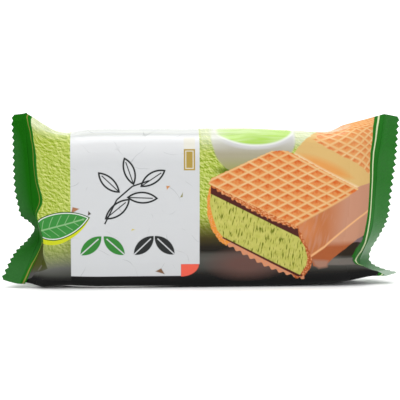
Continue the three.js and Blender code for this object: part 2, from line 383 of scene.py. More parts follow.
@dataclass
class Sheet:
    """A sheet of film as a grid of points, with the place of each on the flat film."""

    points: np.ndarray
    film: np.ndarray

    def normals(self) -> np.ndarray:
        """Finds which way the sheet faces.

        Returns:
            The direction out of it at each point.
        """
        down = np.gradient(self.points, axis=1)
        along = np.gradient(self.points, axis=0)
        return unit(np.cross(down, along))

    def soften(self, passes: int, share: np.ndarray) -> None:
        """Rounds the folds that run across the film's length.

        Args:
            passes: How often each point moves towards its neighbours in the rows beside it.
            share: How much of the move each row makes.
        """
        for _ in range(passes):
            mean = (self.points[:-2] + self.points[2:]) / 2
            self.points[1:-1] += (mean - self.points[1:-1]) * share[1:-1, None, None] / 2

    def grid(self) -> bmesh.types.BMesh:
        """Makes the sheet a mesh in metres, in the pack's own frame.

        Returns:
            The mesh, with the flat film's places in the map that the print reads.
        """
        rows, columns = self.points.shape[:2]
        placed = (self.points + FILM_ZERO) * MM
        spread = (self.film - self.film.min((0, 1))) / np.ptp(self.film, axis=(0, 1))
        made = bmesh.new()
        maps = {name: made.loops.layers.uv.new(name) for name in (FILM_MAP, BAKE_MAP)}
        bmesh.ops.create_grid(made, x_segments=columns - 1, y_segments=rows - 1, size=0.5)
        spots = {}
        for vert in made.verts:
            spots[vert] = (round((vert.co.y + 0.5) * (rows - 1)),
                           round((vert.co.x + 0.5) * (columns - 1)))
        for face in made.faces:
            for corner in face.loops:
                corner[maps[FILM_MAP]].uv = self.film[spots[corner.vert]]
                corner[maps[BAKE_MAP]].uv = spread[spots[corner.vert]]
        for vert, spot in spots.items():
            vert.co = placed[spot]
        return made


def put_in_scene(name: str, data: bpy.types.ID) -> bpy.types.Object:
    """Puts a mesh, lamp or camera in the scene.

    Args:
        name: The object's name.
        data: What it shows.

    Returns:
        The object.
    """
    placed = bpy.data.objects.new(name, data)
    bpy.context.scene.collection.objects.link(placed)
    return placed


def piece_from(made: bmesh.types.BMesh, name: str, finish: bpy.types.Material,
               sharp: float = 50.0) -> bpy.types.Object:
    """Turns a finished mesh into a piece of the pack.

    Args:
        made: The mesh in metres, which is freed.
        name: The piece's name.
        finish: Its material.
        sharp: The angle in degrees past which an edge stays sharp.

    Returns:
        The piece, riding on the pack's body.
    """
    bmesh.ops.remove_doubles(made, verts=made.verts, dist=WELD_REACH)
    bmesh.ops.dissolve_degenerate(made, dist=WELD_REACH, edges=made.edges)
    bmesh.ops.recalc_face_normals(made, faces=made.faces)
    mesh = bpy.data.meshes.new(name)
    made.to_mesh(mesh)
    made.free()
    mesh.shade_smooth()
    mesh.set_sharp_from_angle(angle=math.radians(sharp))
    mesh.materials.append(finish)
    piece = put_in_scene(name, mesh)
    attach(piece, BODY)
    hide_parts(NODE)
    return piece


@dataclass(frozen=True)
class Crease:
    """A fold pressed into the film between two places, out of it where depth is positive."""

    start: Point
    end: Point
    depth: float
    width: float
    soft_end: float = 0.3  # the share of its length over which it fades at each end
    roundness: float = 1.5  # 1 is a sharp ridge and 2 a rounded one

    def lift(self, film: np.ndarray) -> np.ndarray:
        """Finds how the crease moves the film.

        Args:
            film: Places on the flat film.

        Returns:
            How far out it moves each.
        """
        start, run = np.array(self.start), np.subtract(self.end, self.start)
        place = (film - start) @ run / (run @ run)
        near = start + np.clip(place, 0, 1)[..., None] * run
        away = np.linalg.norm(film - near, axis=-1)
        fade = smooth_step(place / self.soft_end) * smooth_step((1 - place) / self.soft_end)
        return self.depth * fade * np.exp(-((away / self.width) ** self.roundness))


@dataclass(frozen=True)
class Ripple:
    """The film's slight unevenness over a wide area."""

    height: float
    span: float
    stretch: float
    seed: int

    def lift(self, film: np.ndarray) -> np.ndarray:
        """Finds how the unevenness moves the film.

        Args:
            film: Places on the flat film.

        Returns:
            How far out it moves each.
        """
        flat = film.reshape(-1, 2) / self.span
        found = [noise.noise(Vector((along, up * self.stretch, self.seed))) for along, up in flat]
        return self.height * np.array(found).reshape(film.shape[:-1])


@dataclass(frozen=True)
class FilmWrap:
    """The wrap of printed film, from weld to weld."""

    bar: WrappedBar = WrappedBar()
    left: PackEnd = LEFT_END
    right: PackEnd = RIGHT_END
    columns: int = 198  # steps round each half
    throat: int = 14  # steps from a weld to its fold
    shoulder: int = 18  # steps from a fold to the bar
    middle: int = 158  # steps along the bar
    fold_softness: int = 3
    stiff_foot: float = 8.0  # the film lies still below this height
    stiff_weld: float = 0.25  # and over this share of the way from a weld to the bar
    stretched: Point = (-72.5, 68.0)  # between these places along it the film is taut and glossy
    creases: tuple[Crease, ...] = (
        Crease((-64, 70.9), (24, 70.9), -1.5, 3.6, 0.12),
        Crease((-77, 76.0), (-64, 70.6), 0.9, 2.6),
        Crease((-70, 70.9), (-54, 71.6), 0.7, 2.6),
        Crease((-74, 78.5), (-56, 79.0), -1.6, 4.0),
        Crease((62, 24.0), (74, 13.5), 0.6, 1.6),
    )
    ripples: tuple[Ripple, ...] = (Ripple(0.3, 15, 1.2, 3), Ripple(0.09, 30, 9, 5))

    @property
    def top_line(self) -> float:
        """The film's place up the print at the middle of the pack's top.

        On the wide front face that place is the height above the ground.
        """
        bar = self.bar
        return bar.height - bar.top_radius + sum(bar.stretches(bar.height)[:2])

    def up_film(self, share: np.ndarray, face: Face) -> np.ndarray:
        """Returns the places up the print for shares of the way round the bar."""
        return self.top_line + face.value * share * self.bar.half_round

    def half(self, place: np.ndarray, face: Face) -> Sheet:
        """Draws the film of one wide face, from the left weld to the right one.

        Args:
            place: The places along the seals of its columns.
            face: Which face.

        Returns:
            The film as drawn, without its creases.
        """
        near, far = (look_up(end.folds[face].shares, place) for end in (self.left, self.right))
        steps = (self.throat, self.shoulder, self.bar)
        left, left_film = self.left.film_rows(place, face, *steps)
        right, right_film = self.right.film_rows(place, face, *steps)
        along = np.linspace(0, 1, self.middle + 1)[:, None]
        x = self.bar.left + (self.bar.right - self.bar.left) * along
        share = near + (far - near) * along
        middle = self.bar.point(x, share, face)
        points = np.vstack([left, middle, right[::-1]])
        across = np.vstack([left_film, np.broadcast_to(x, share.shape), right_film[::-1]])
        up = np.vstack([np.broadcast_to(near, left_film.shape), share,
                        np.broadcast_to(far, right_film.shape)])
        return Sheet(points, np.stack([across, self.up_film(up, face)], -1))

    def sheet(self) -> Sheet:
        """Draws the whole wrap once round.

        Returns:
            The wrap, with its folds softened and its creases.
        """
        place = np.linspace(0, 1, self.columns + 1)
        front, back = self.half(place, Face.FRONT), self.half(place[::-1], Face.BACK)
        wrap = Sheet(np.hstack([front.points, back.points]), np.hstack([front.film, back.film]))
        rows = len(wrap.points)
        # From 0 at a weld to 1 where the bar starts. Past 1 the softening fades out.
        at_end = np.minimum(np.arange(rows), np.arange(rows)[::-1]) / (self.throat + self.shoulder)
        wrap.soften(self.fold_softness, np.clip(2 - at_end, 0, 1))
        out = wrap.normals()
        seams = ((0, -1), (self.columns, self.columns + 1))
        for one, other in seams:
            out[:, one] = out[:, other] = unit(out[:, one] + out[:, other])
        lift = sum(form.lift(wrap.film) for form in (*self.ripples, *self.creases))
        height = self.top_line - np.abs(wrap.film[..., 1] - self.top_line)
        free = smooth_step(height / self.stiff_foot)
        free = free * smooth_step(at_end[:, None] / self.stiff_weld)
        wrap.points += out * (lift * free)[..., None]
        return wrap

    def build(self, taut: bpy.types.Material, slack: bpy.types.Material) -> bpy.types.Object:
        """Makes the wrap's piece.

        Args:
            taut: The finish of the film that the bar stretches.
            slack: The finish of its folded ends.

        Returns:
            The piece.
        """
        made = self.sheet().grid()
        film = made.loops.layers.uv[FILM_MAP]
        for face in made.faces:
            along = sum(corner[film].uv.x for corner in face.loops) / len(face.loops)
            face.material_index = int(not self.stretched[0] < along < self.stretched[1])
        piece = piece_from(made, "film_wrap", taut)
        piece.data.materials.append(slack)
        return piece


@dataclass(frozen=True)
class EndSeal:
    """The crimped band of one end: two films welded, ribbed by the jaws, cut to a zigzag."""

    name: str
    end: PackEnd
    teeth: int = 30
    steps_per_tooth: int = 22
    steps_across: int = 12
    thickness: float = 0.28
    rib_pitch: float = 0.62
    rib_depth: float = 0.06
    plain_edge: float = 0.08  # the share of the width at the weld that the ribs leave plain
    camber: float = 0.0  # how far the middle of its width stands forward
    flap: float = 0.0  # the share of the length at the top that is bent back
    flap_reach: float = 1.2
    print_margin: float = 0.0  # how much further out its print starts than the wrap's ends

    def sheet(self, film: FilmWrap) -> Sheet:
        """Draws the band's middle sheet.

        Args:
            film: The wrap that the band closes.

        Returns:
            The band, with its ribs and teeth.
        """
        place = np.linspace(0, 1, self.teeth * self.steps_per_tooth + 1)
        weld, out, normal = self.end.band_frame(place)
        tips = self.end.band()[1].at(place)
        tooth = 1 - np.abs((place * self.teeth) % 1 * 2 - 1)
        edge = tips - out * (self.end.tooth_depth * (1 - tooth))[:, None]
        across = np.linspace(0, 1, self.steps_across + 1)[:, None, None]
        points = weld + (edge - weld) * across
        length = float(np.linalg.norm(np.diff(weld, axis=0), axis=1).sum())
        ribs = np.sin(2 * np.pi * place * length / self.rib_pitch) * self.rib_depth
        reach = smooth_step(across[..., 0] / self.plain_edge - 1)
        bulge = self.camber * 4 * across[..., 0] * (1 - across[..., 0])
        bent = np.zeros_like(place)
        if self.flap:
            bent = self.flap_reach * np.clip(1 - place / self.flap, 0, None)
        points = points + normal * (ribs * reach + bulge - bent)[..., None]
        weld_film = look_up(self.end.weld_film, place)
        width = np.linalg.norm(edge - weld, axis=1)
        along = weld_film + self.end.side * (width * across[..., 0] + self.print_margin)
        share = look_up(self.end.folds[Face.FRONT].shares, place)
        up = np.broadcast_to(film.up_film(share, Face.FRONT), along.shape)
        return Sheet(points, np.stack([along, up], -1))

    def build(self, film: FilmWrap, finish: bpy.types.Material) -> bpy.types.Object:
        """Makes the band's piece.

        Args:
            film: The wrap that the band closes.
            finish: The material.

        Returns:
            The piece.
        """
        made = self.sheet(film).grid()
        bmesh.ops.recalc_face_normals(made, faces=made.faces)
        thickness = self.thickness * MM
        for vert in made.verts:
            vert.co += vert.normal * (thickness / 2)
        bmesh.ops.solidify(made, geom=made.faces[:], thickness=thickness)
        return piece_from(made, self.name, finish, sharp=35)


@dataclass(frozen=True)
class LongSeam:
    """The flap down the back where the wrap's two long edges are welded and laid flat."""

    low: float = 0.425  # its places along the seals
    high: float = 0.545
    steps_down: int = 24
    row_step: int = 2
    clear_rows: int = 2  # the wrap's rows that it leaves free at each weld
    tuck: float = 1 / 6  # the share of its width over which it rises off the wrap
    stand_off: float = 0.32
    thickness: float = 0.2
    rib_depth: float = 0.05
    ribs: int = 9

    def build(self, film: FilmWrap, finish: bpy.types.Material) -> bpy.types.Object:
        """Makes the flap's piece.

        Args:
            film: The wrap that the flap lies on.
            finish: The material.

        Returns:
            The piece.
        """
        wrap = film.sheet()
        first = film.columns + 1
        back_place = np.linspace(1, 0, film.columns + 1)
        place = np.linspace(self.high, self.low, self.steps_down + 1)
        column = np.interp(place, back_place[::-1], np.arange(film.columns + 1)[::-1])
        whole, part = column.astype(int), column % 1
        rows = slice(self.clear_rows, -self.clear_rows, self.row_step)
        out = wrap.normals()

        def between(values: np.ndarray) -> np.ndarray:
            """Reads the wrap's columns under the flap."""
            back = values[rows, first:]
            return back[:, whole] + (back[:, whole + 1] - back[:, whole]) * part[:, None]

        down = np.linspace(0, 1, self.steps_down + 1)
        ribs = self.rib_depth * np.sin(2 * np.pi * self.ribs * down)
        rise = (self.stand_off + ribs) * smooth_step(down / self.tuck)
        points = between(wrap.points) + between(out) * rise[:, None]
        made = Sheet(points, between(wrap.film)).grid()
        bmesh.ops.recalc_face_normals(made, faces=made.faces)
        bmesh.ops.solidify(made, geom=made.faces[:], thickness=self.thickness * MM)
        return piece_from(made, "long_seam", finish, sharp=35)


# ------------------------------------------------------------------ inks and the print


STUDIO_LIGHT = 1.36  # how much brighter than its ink a field looks on the lit pack
FILM_SHEEN = 0.02  # the light that the clear film throws back by itself
BACK_FROM = 13.0  # past the middle of the top by this much, the print is the back's

Colour = tuple[float, float, float, float]
Socket = bpy.types.NodeSocket
Fade = tuple[tuple[float, Colour, float], ...]


def ink(red: int, green: int, blue: int) -> Colour:
    """Mixes an ink for the colour that a field has on the lit pack.

    Args:
        red: The colour's red, from 0 to 255.
        green: Its green.
        blue: Its blue.

    Returns:
        The ink.
    """
    shades = [part / 255 for part in (red, green, blue)]
    seen = [part / 12.92 if part <= 0.04045 else ((part + 0.055) / 1.055) ** 2.4
            for part in shades]
    return (*(max(part - FILM_SHEEN, 0.001) / STUDIO_LIGHT for part in seen), 1.0)


class Ink:
    """The colours of the print, and of the painted light and shade laid with it."""

    LIME = ink(182, 200, 88)
    LIME_LIGHT = ink(224, 230, 142)
    LIME_DARK = ink(132, 156, 44)
    SEAL_GREEN = ink(47, 119, 44)
    # painted shade: the left band's green darkened near the weld, where its fold lies in shade
    WELD_SHADE_GREEN = ink(49, 111, 44)
    # painted highlight: the right band's green lightened towards its foot
    RIGHT_HIGHLIGHT_GREEN = ink(84, 146, 86)
    # painted highlight: the left band's green lightened outwards and towards its foot
    TIP_HIGHLIGHT_GREEN = ink(68, 118, 67)
    # painted highlight: the white glare of the lamps along the pack's top
    TOP_GLARE = ink(240, 244, 224)
    # painted highlight: the glare that whitens the panel's top
    PANEL_GLARE = ink(246, 247, 248)
    # painted highlight: pale light along the top of the right seal's flared foot
    FLARE_HIGHLIGHT = ink(214, 224, 216)
    BLACK = ink(24, 24, 23)
    PANEL = ink(219, 221, 223)
    FIBRE = ink(178, 181, 184)
    CORNER_RED = ink(248, 107, 88)
    OLD_GOLD = ink(150, 140, 80)
    CREAM_GOLD = ink(226, 236, 190)
    TAB_GOLD = ink(186, 160, 84)
    TAB_PALE = ink(240, 238, 226)
    CHARCOAL = ink(56, 58, 58)
    LEAF_GREEN = ink(66, 140, 66)
    BADGE_GREEN = ink(70, 148, 72)
    BADGE_EDGE = ink(34, 92, 30)
    BADGE_VEIN = ink(150, 196, 140)
    BADGE_YELLOW = ink(212, 218, 50)
    WHITE = ink(246, 248, 244)
    TEA = ink(182, 222, 106)
    TEA_PALE = ink(206, 234, 156)
    BOWL = ink(178, 172, 146)
    BOWL_PALE = ink(214, 214, 214)
    BOWL_SHADE = ink(166, 166, 104)
    UNDER_BOWL = ink(100, 118, 40)
    FOOT_DARK = ink(58, 51, 44)
    # painted shade: the lower left facet that turns away from the light, olive above and grey below
    CORNER_SHADE_OLIVE = ink(80, 85, 46)
    CORNER_SHADE_GREY = ink(90, 88, 87)
    # painted highlight: grey light on the dark film's folds at the foot
    FOOT_HIGHLIGHT = ink(122, 116, 110)
    # painted reflection: a mauve sheen on the dark film above the right end of the foot
    FOOT_MAUVE_REFLECTION = ink(132, 112, 116)
    FOOT_ROSE = ink(176, 132, 112)
    UNDERSIDE = ink(232, 232, 230)
    RIDGE = ink(240, 192, 132)
    RIDGE_PALE = ink(250, 222, 180)
    PIT = ink(234, 154, 90)
    PIT_DEEP = ink(218, 102, 48)
    CRUMB = ink(196, 104, 56)
    CRUMB_LIGHT = ink(240, 170, 116)
    BEVEL = ink(228, 190, 124)
    BEVEL_GLOW = ink(236, 166, 94)
    CHOCOLATE = ink(88, 48, 44)
    ICE = ink(194, 194, 96)
    ICE_LIGHT = ink(210, 206, 112)
    ICE_PORE = ink(112, 122, 38)
    RIM = ink(238, 152, 66)
    LOWER_RIM = ink(226, 152, 112)
    SIDE = ink(199, 124, 80)
    SIDE_GLOW = ink(214, 136, 88)
    SIDE_PALE = ink(206, 151, 124)
    FLANGE = ink(248, 190, 136)
    RIGHT_RIM = ink(184, 96, 56)
    LOWER_PINK = ink(206, 152, 124)
    LOWER_HALF = ink(178, 100, 62)
    REFLECTION = ink(112, 84, 78)


def add_node(tree: bpy.types.NodeTree, kind: str, settings: dict | None = None,
             inputs: dict | None = None) -> bpy.types.Node:
    """Adds a node.

    Args:
        tree: The nodes that it joins.
        kind: Its type.
        settings: Its properties.
        inputs: Its inputs by name or number, each a value or another node's output.

    Returns:
        The node.
    """
    node = tree.nodes.new(kind)
    for name, value in (settings or {}).items():
        setattr(node, name, value)
    for key, value in (inputs or {}).items():
        if isinstance(value, bpy.types.NodeSocket):
            tree.links.new(value, node.inputs[key])
        else:
            node.inputs[key].default_value = value
    return node


def new_finish(name: str) -> tuple[bpy.types.Material, bpy.types.Node]:
    """Starts a finish.

    Args:
        name: Its name.

    Returns:
        The material and its shader.
    """
    made = bpy.data.materials.new(name)
    made.use_nodes = True
    return made, next(node for node in made.node_tree.nodes if node.type == "BSDF_PRINCIPLED")


class Press:
    """Lays inks one over another, by nodes that read places on the flat film."""

    def __init__(self, tree: bpy.types.NodeTree, ground: Colour, top_line: float) -> None:
        """Starts a print.

        Args:
            tree: The material's nodes.
            ground: The ink that covers everything at first.
            top_line: The film's place up the print at the middle of the pack's top.
        """
        self.tree = tree
        self.film = self.add("ShaderNodeUVMap", {"uv_map": FILM_MAP}).outputs["UV"]
        parts = self.add("ShaderNodeSeparateXYZ", inputs={0: self.film}).outputs
        self.along, self.up = parts["X"], parts["Y"]
        joined = self.add("ShaderNodeCombineXYZ", inputs={0: self.along, 1: self.up, 2: 1.0})
        self.place = joined.outputs[0]
        past_top = self.maths("ABSOLUTE", self.maths("SUBTRACT", self.up, top_line))
        self.height = self.maths("SUBTRACT", top_line, past_top)
        self.on_back = self.maths("GREATER_THAN", self.up, top_line + BACK_FROM)
        self.colour: Socket | Colour = ground

    def add(self, kind: str, settings: dict | None = None,
            inputs: dict | None = None) -> bpy.types.Node:
        """Adds a node to the material, as add_node does."""
        return add_node(self.tree, kind, settings, inputs)

    def maths(self, work: str, *terms: Socket | float, held: bool = False) -> Socket:
        """Works a number out from others.

        Args:
            work: What the node does with them.
            terms: The numbers, each a value or another node's output.
            held: Whether the result is held from 0 to 1.

        Returns:
            The result.
        """
        settings = {"operation": work, "use_clamp": held}
        return self.add("ShaderNodeMath", settings, dict(enumerate(terms))).outputs[0]

    def times(self, first: Socket, second: Socket | float) -> Socket:
        """Returns the product of two numbers."""
        return self.maths("MULTIPLY", first, second)

    def rise(self, value: Socket, none: float, full: float) -> Socket:
        """Returns a share that goes from 0 to 1 as the value goes from none to full."""
        span = full - none
        return self.maths("MULTIPLY_ADD", value, 1 / span, -none / span, held=True)

    def measure(self, row: Sequence[float]) -> Socket:
        """Measures places along a direction on the film.

        Args:
            row: What the places along the film and up it are multiplied by, and what is added.

        Returns:
            The sum.
        """
        inputs = {0: self.place, 1: tuple(row)}
        node = self.add("ShaderNodeVectorMath", {"operation": "DOT_PRODUCT"}, inputs)
        return node.outputs["Value"]

    def mask(self, depth: Socket, blur: float = 0.25) -> Socket:
        """Turns a depth inside a shape, in millimetres, into how much of the ink prints."""
        return self.maths("MULTIPLY_ADD", depth, 1 / blur, 0.5, held=True)

    def right_of(self, along: float, blur: float) -> Socket:
        """Returns the mask of the film to the right of a place along it."""
        return self.mask(self.measure((1, 0, -along)), blur)

    def left_of(self, along: float, blur: float) -> Socket:
        """Returns the mask of the film to the left of a place along it."""
        return self.mask(self.measure((-1, 0, along)), blur)

    def blend(self, share: Socket | float, first: Socket | Colour,
              second: Socket | Colour) -> Socket:
        """Returns two colours mixed, the second by its share."""
        inputs = {"Factor": share, 6: first, 7: second}
        return self.add("ShaderNodeMix", {"data_type": "RGBA"}, inputs).outputs[2]

    def lay(self, mask: Socket | float, colour: Socket | Colour) -> None:
        """Prints a colour where the mask says, over what is there."""
        self.colour = self.blend(mask, self.colour, colour)

    def fill(self, shape: "Shape", colour: Socket | Colour, blur: float = 0.25,
             rough: Socket | None = None) -> None:
        """Prints a shape.

        Args:
            shape: The shape.
            colour: Its ink.
            blur: How wide its soft edge is, in millimetres.
            rough: What to add to its depth, so that the edge wanders.
        """
        depth = shape.depth(self)
        if rough is not None:
            depth = self.maths("ADD", depth, rough)
        self.lay(self.mask(depth, blur), colour)

    def draw(self, shape: "Shape", colour: Colour, width: float) -> None:
        """Prints a line of some width along the edge of a shape."""
        away = self.maths("ABSOLUTE", shape.depth(self))
        self.lay(self.mask(self.maths("SUBTRACT", width / 2, away)), colour)

    def grain(self, span: float, detail: float = 2.0, turn: float = 0.0,
              stretch: Point = (1, 1), shift: Point = (0, 0)) -> Socket:
        """Adds a cloudy pattern.

        Args:
            span: The size of its clouds in millimetres.
            detail: How many finer layers it has.
            turn: How far its long way is turned, in degrees.
            stretch: How much it is drawn out each way.
            shift: Where it is read from.

        Returns:
            A value about 0.5.
        """
        lying = self.add("ShaderNodeMapping", {"vector_type": "TEXTURE"},
                         {"Vector": self.film, "Location": (*shift, 0),
                          "Rotation": (0, 0, math.radians(turn)), "Scale": (*stretch, 1)})
        inputs = {"Vector": lying.outputs[0], "Scale": 1 / span, "Detail": detail}
        return self.add("ShaderNodeTexNoise", inputs=inputs).outputs[0]

    def wander(self, reach: float, span: float) -> Socket:
        """Returns a depth in millimetres that makes an edge wander about its place."""
        return self.maths("MULTIPLY_ADD", self.grain(span, 2), 4 * reach, -2 * reach)

    def fade(self, height: Socket, stops: Fade) -> bpy.types.Node:
        """Adds a fade of colours up the print.

        Args:
            height: The heights to read it at.
            stops: Rising heights in millimetres, each with a colour and how strongly it prints.

        Returns:
            The ramp, whose alpha is the strength.
        """
        top = stops[-1][0]
        node = self.add("ShaderNodeValToRGB", inputs={0: self.maths("DIVIDE", height, top)})
        marks = node.color_ramp.elements
        while len(marks) < len(stops):
            marks.new(0.5)
        for mark, (place, colour, strength) in zip(marks, stops):
            mark.position = place / top
            mark.color = (*colour[:3], strength)
        return node


class Shape(Protocol):
    """A printed shape."""

    def depth(self, press: Press) -> Socket:
        """Returns how far inside the shape each place is, in millimetres."""


@dataclass(frozen=True)
class Outline:
    """A shape with straight sides and no hollow corner."""

    corners: tuple[Point, ...]

    @classmethod
    def strip(cls, start: Point, end: Point, width: float) -> "Outline":
        """Draws a straight strip.

        Args:
            start: The middle of its one end.
            end: The middle of its other end.
            width: Its width.

        Returns:
            The strip.
        """
        run = np.subtract(end, start)
        side = np.array([-run[1], run[0]]) / np.hypot(*run) * width / 2
        corners = (start - side, end - side, end + side, start + side)
        return cls(tuple(tuple(corner) for corner in corners))

    @classmethod
    def upright(cls, left: float, bottom: float, right: float, top: float) -> "Outline":
        """Returns an upright oblong."""
        return cls(((left, bottom), (right, bottom), (right, top), (left, top)))

    def depth(self, press: Press) -> Socket:
        """Measures the shape.

        Args:
            press: The print.

        Returns:
            How far inside it each place is, in millimetres.
        """
        middle = np.mean(self.corners, axis=0)
        found = None
        for (x0, y0), (x1, y1) in zip(self.corners, self.corners[1:] + self.corners[:1]):
            long = math.hypot(x1 - x0, y1 - y0)
            row = np.array([y0 - y1, x1 - x0, x0 * y1 - x1 * y0]) / long
            side = press.measure(row if row @ (*middle, 1) > 0 else -row)
            found = side if found is None else press.maths("MINIMUM", found, side)
        return found


@dataclass(frozen=True)
class Oval:
    """An upright oval."""

    middle: Point
    radii: Point

    def depth(self, press: Press) -> Socket:
        """Measures the oval.

        Args:
            press: The print.

        Returns:
            How far inside it each place is, roughly in millimetres.
        """
        (x, y), (wide, high) = self.middle, self.radii
        away = press.add("ShaderNodeVectorMath", {"operation": "MULTIPLY_ADD"},
                         {0: press.film, 1: (1 / wide, 1 / high, 0), 2: (-x / wide, -y / high, 0)})
        far = press.add("ShaderNodeVectorMath", {"operation": "LENGTH"}, {0: away.outputs[0]})
        small = min(self.radii)
        return press.maths("MULTIPLY_ADD", far.outputs["Value"], -small, small)


@dataclass(frozen=True)
class Leaf:
    """A leaf between two points, each side an arc that bows out by some part of its length."""

    stalk: Point
    tip: Point
    bows: Point = (0.2, 0.2)
    rib_share: float = 0.86  # how much of its length the midrib takes
    rib_width: float = 0.5

    def depth(self, press: Press) -> Socket:
        """Measures the leaf.

        Args:
            press: The print.

        Returns:
            How far inside it each place is, in millimetres.
        """
        stalk, run = np.array(self.stalk), np.subtract(self.tip, self.stalk)
        long = float(np.hypot(*run))
        side = np.array([-run[1], run[0]]) / long
        sides = []
        for bow, way in zip(self.bows, (1, -1)):
            radius = long * (0.25 + bow**2) / (2 * bow)
            middle = stalk + run / 2 - way * side * (radius - bow * long)
            sides.append(Oval(tuple(middle), (radius, radius)).depth(press))
        return press.maths("MINIMUM", *sides)

    @property
    def midrib(self) -> Outline:
        """The thin line down its middle."""
        end = np.array(self.stalk) + np.subtract(self.tip, self.stalk) * self.rib_share
        return Outline.strip(self.stalk, tuple(end), self.rib_width)


@dataclass(frozen=True)
class Overlap:
    """What two shapes share."""

    first: Shape
    second: Shape

    def depth(self, press: Press) -> Socket:
        """Returns how far inside both shapes each place is, in millimetres."""
        return press.maths("MINIMUM", self.first.depth(press), self.second.depth(press))


@dataclass(frozen=True)
class Together:
    """Everything that is in either of two shapes."""

    first: Shape
    second: Shape

    def depth(self, press: Press) -> Socket:
        """Returns how far inside either shape each place is, in millimetres."""
        return press.maths("MAXIMUM", self.first.depth(press), self.second.depth(press))


@dataclass(frozen=True)
class Rest:
    """What a shape keeps when another is cut out of it."""

    whole: Shape
    cut: Shape

    def depth(self, press: Press) -> Socket:
        """Returns how far inside what is left each place is, in millimetres."""
        out = press.times(self.cut.depth(press), -1.0)
        return press.maths("MINIMUM", self.whole.depth(press), out)


@dataclass(frozen=True)
class WaferGrid:
    """The crossed ridges of a wafer's top, drawn in perspective."""

    corners: tuple[Point, Point, Point, Point]  # near left, far left, far right, near right
    cells: tuple[int, int]  # along its near side, and away from it
    ridge: float = 0.04  # half a ridge's width, in cells
    wall: float = 0.16  # how wide a pit's sloping wall is, in cells
    strength: float = 1.0  # how strongly the pits print
    shading: float = 1.1  # how much deeper the upper part of a pit looks
    mottle: Point = (2.2, -0.75)  # how cloudy the pits are, and how dark without shading

    def rows(self) -> np.ndarray:
        """Works the perspective out.

        Returns:
            The rows that turn a place on the film into one in the grid, and its divisor.
        """
        across, away = self.cells
        spots = ((0, 0), (0, away), (across, away), (across, 0))
        sums, wanted = [], []
        for (i, j), (x, y) in zip(spots, self.corners):
            sums += [[x, y, 1, 0, 0, 0, -x * i, -y * i], [0, 0, 0, x, y, 1, -x * j, -y * j]]
            wanted += [i, j]
        return np.append(np.linalg.solve(sums, wanted), 1).reshape(3, 3)

    def lay(self, press: Press, whole: Shape, tone: Socket, rough: Socket | None = None) -> None:
        """Prints the grid.

        Args:
            press: The print.
            whole: The outline that it fills.
            tone: A cloudy value about 0.5 that makes some of it paler.
            rough: What to add to the outline's depth, so that its edge wanders.
        """
        across, away, far = (press.measure(row) for row in self.rows())
        inner = []
        for line in (across, away):
            place = press.maths("FRACT", press.maths("DIVIDE", line, far))
            inner.append(press.maths("SUBTRACT", place, 0.5))
        reach = press.maths("MAXIMUM", *(press.maths("ABSOLUTE", part) for part in inner))
        foot = 0.5 - self.ridge
        pit = press.times(press.rise(reach, foot, foot - self.wall), self.strength)
        upper = press.maths("SUBTRACT", inner[1], inner[0])
        mottle = press.maths("MULTIPLY_ADD", press.grain(1.5, 2), *self.mottle)
        deep = press.maths("MULTIPLY_ADD", upper, self.shading, mottle, held=True)
        hollow = press.blend(deep, Ink.PIT, Ink.PIT_DEEP)
        crest = press.rise(reach, 0.45625, 0.51875)
        crest = press.times(crest, press.rise(tone, 0.35, 0.6))
        ridge = press.blend(crest, Ink.RIDGE, Ink.RIDGE_PALE)
        press.fill(whole, press.blend(pit, ridge, hollow), 0.3, rough)


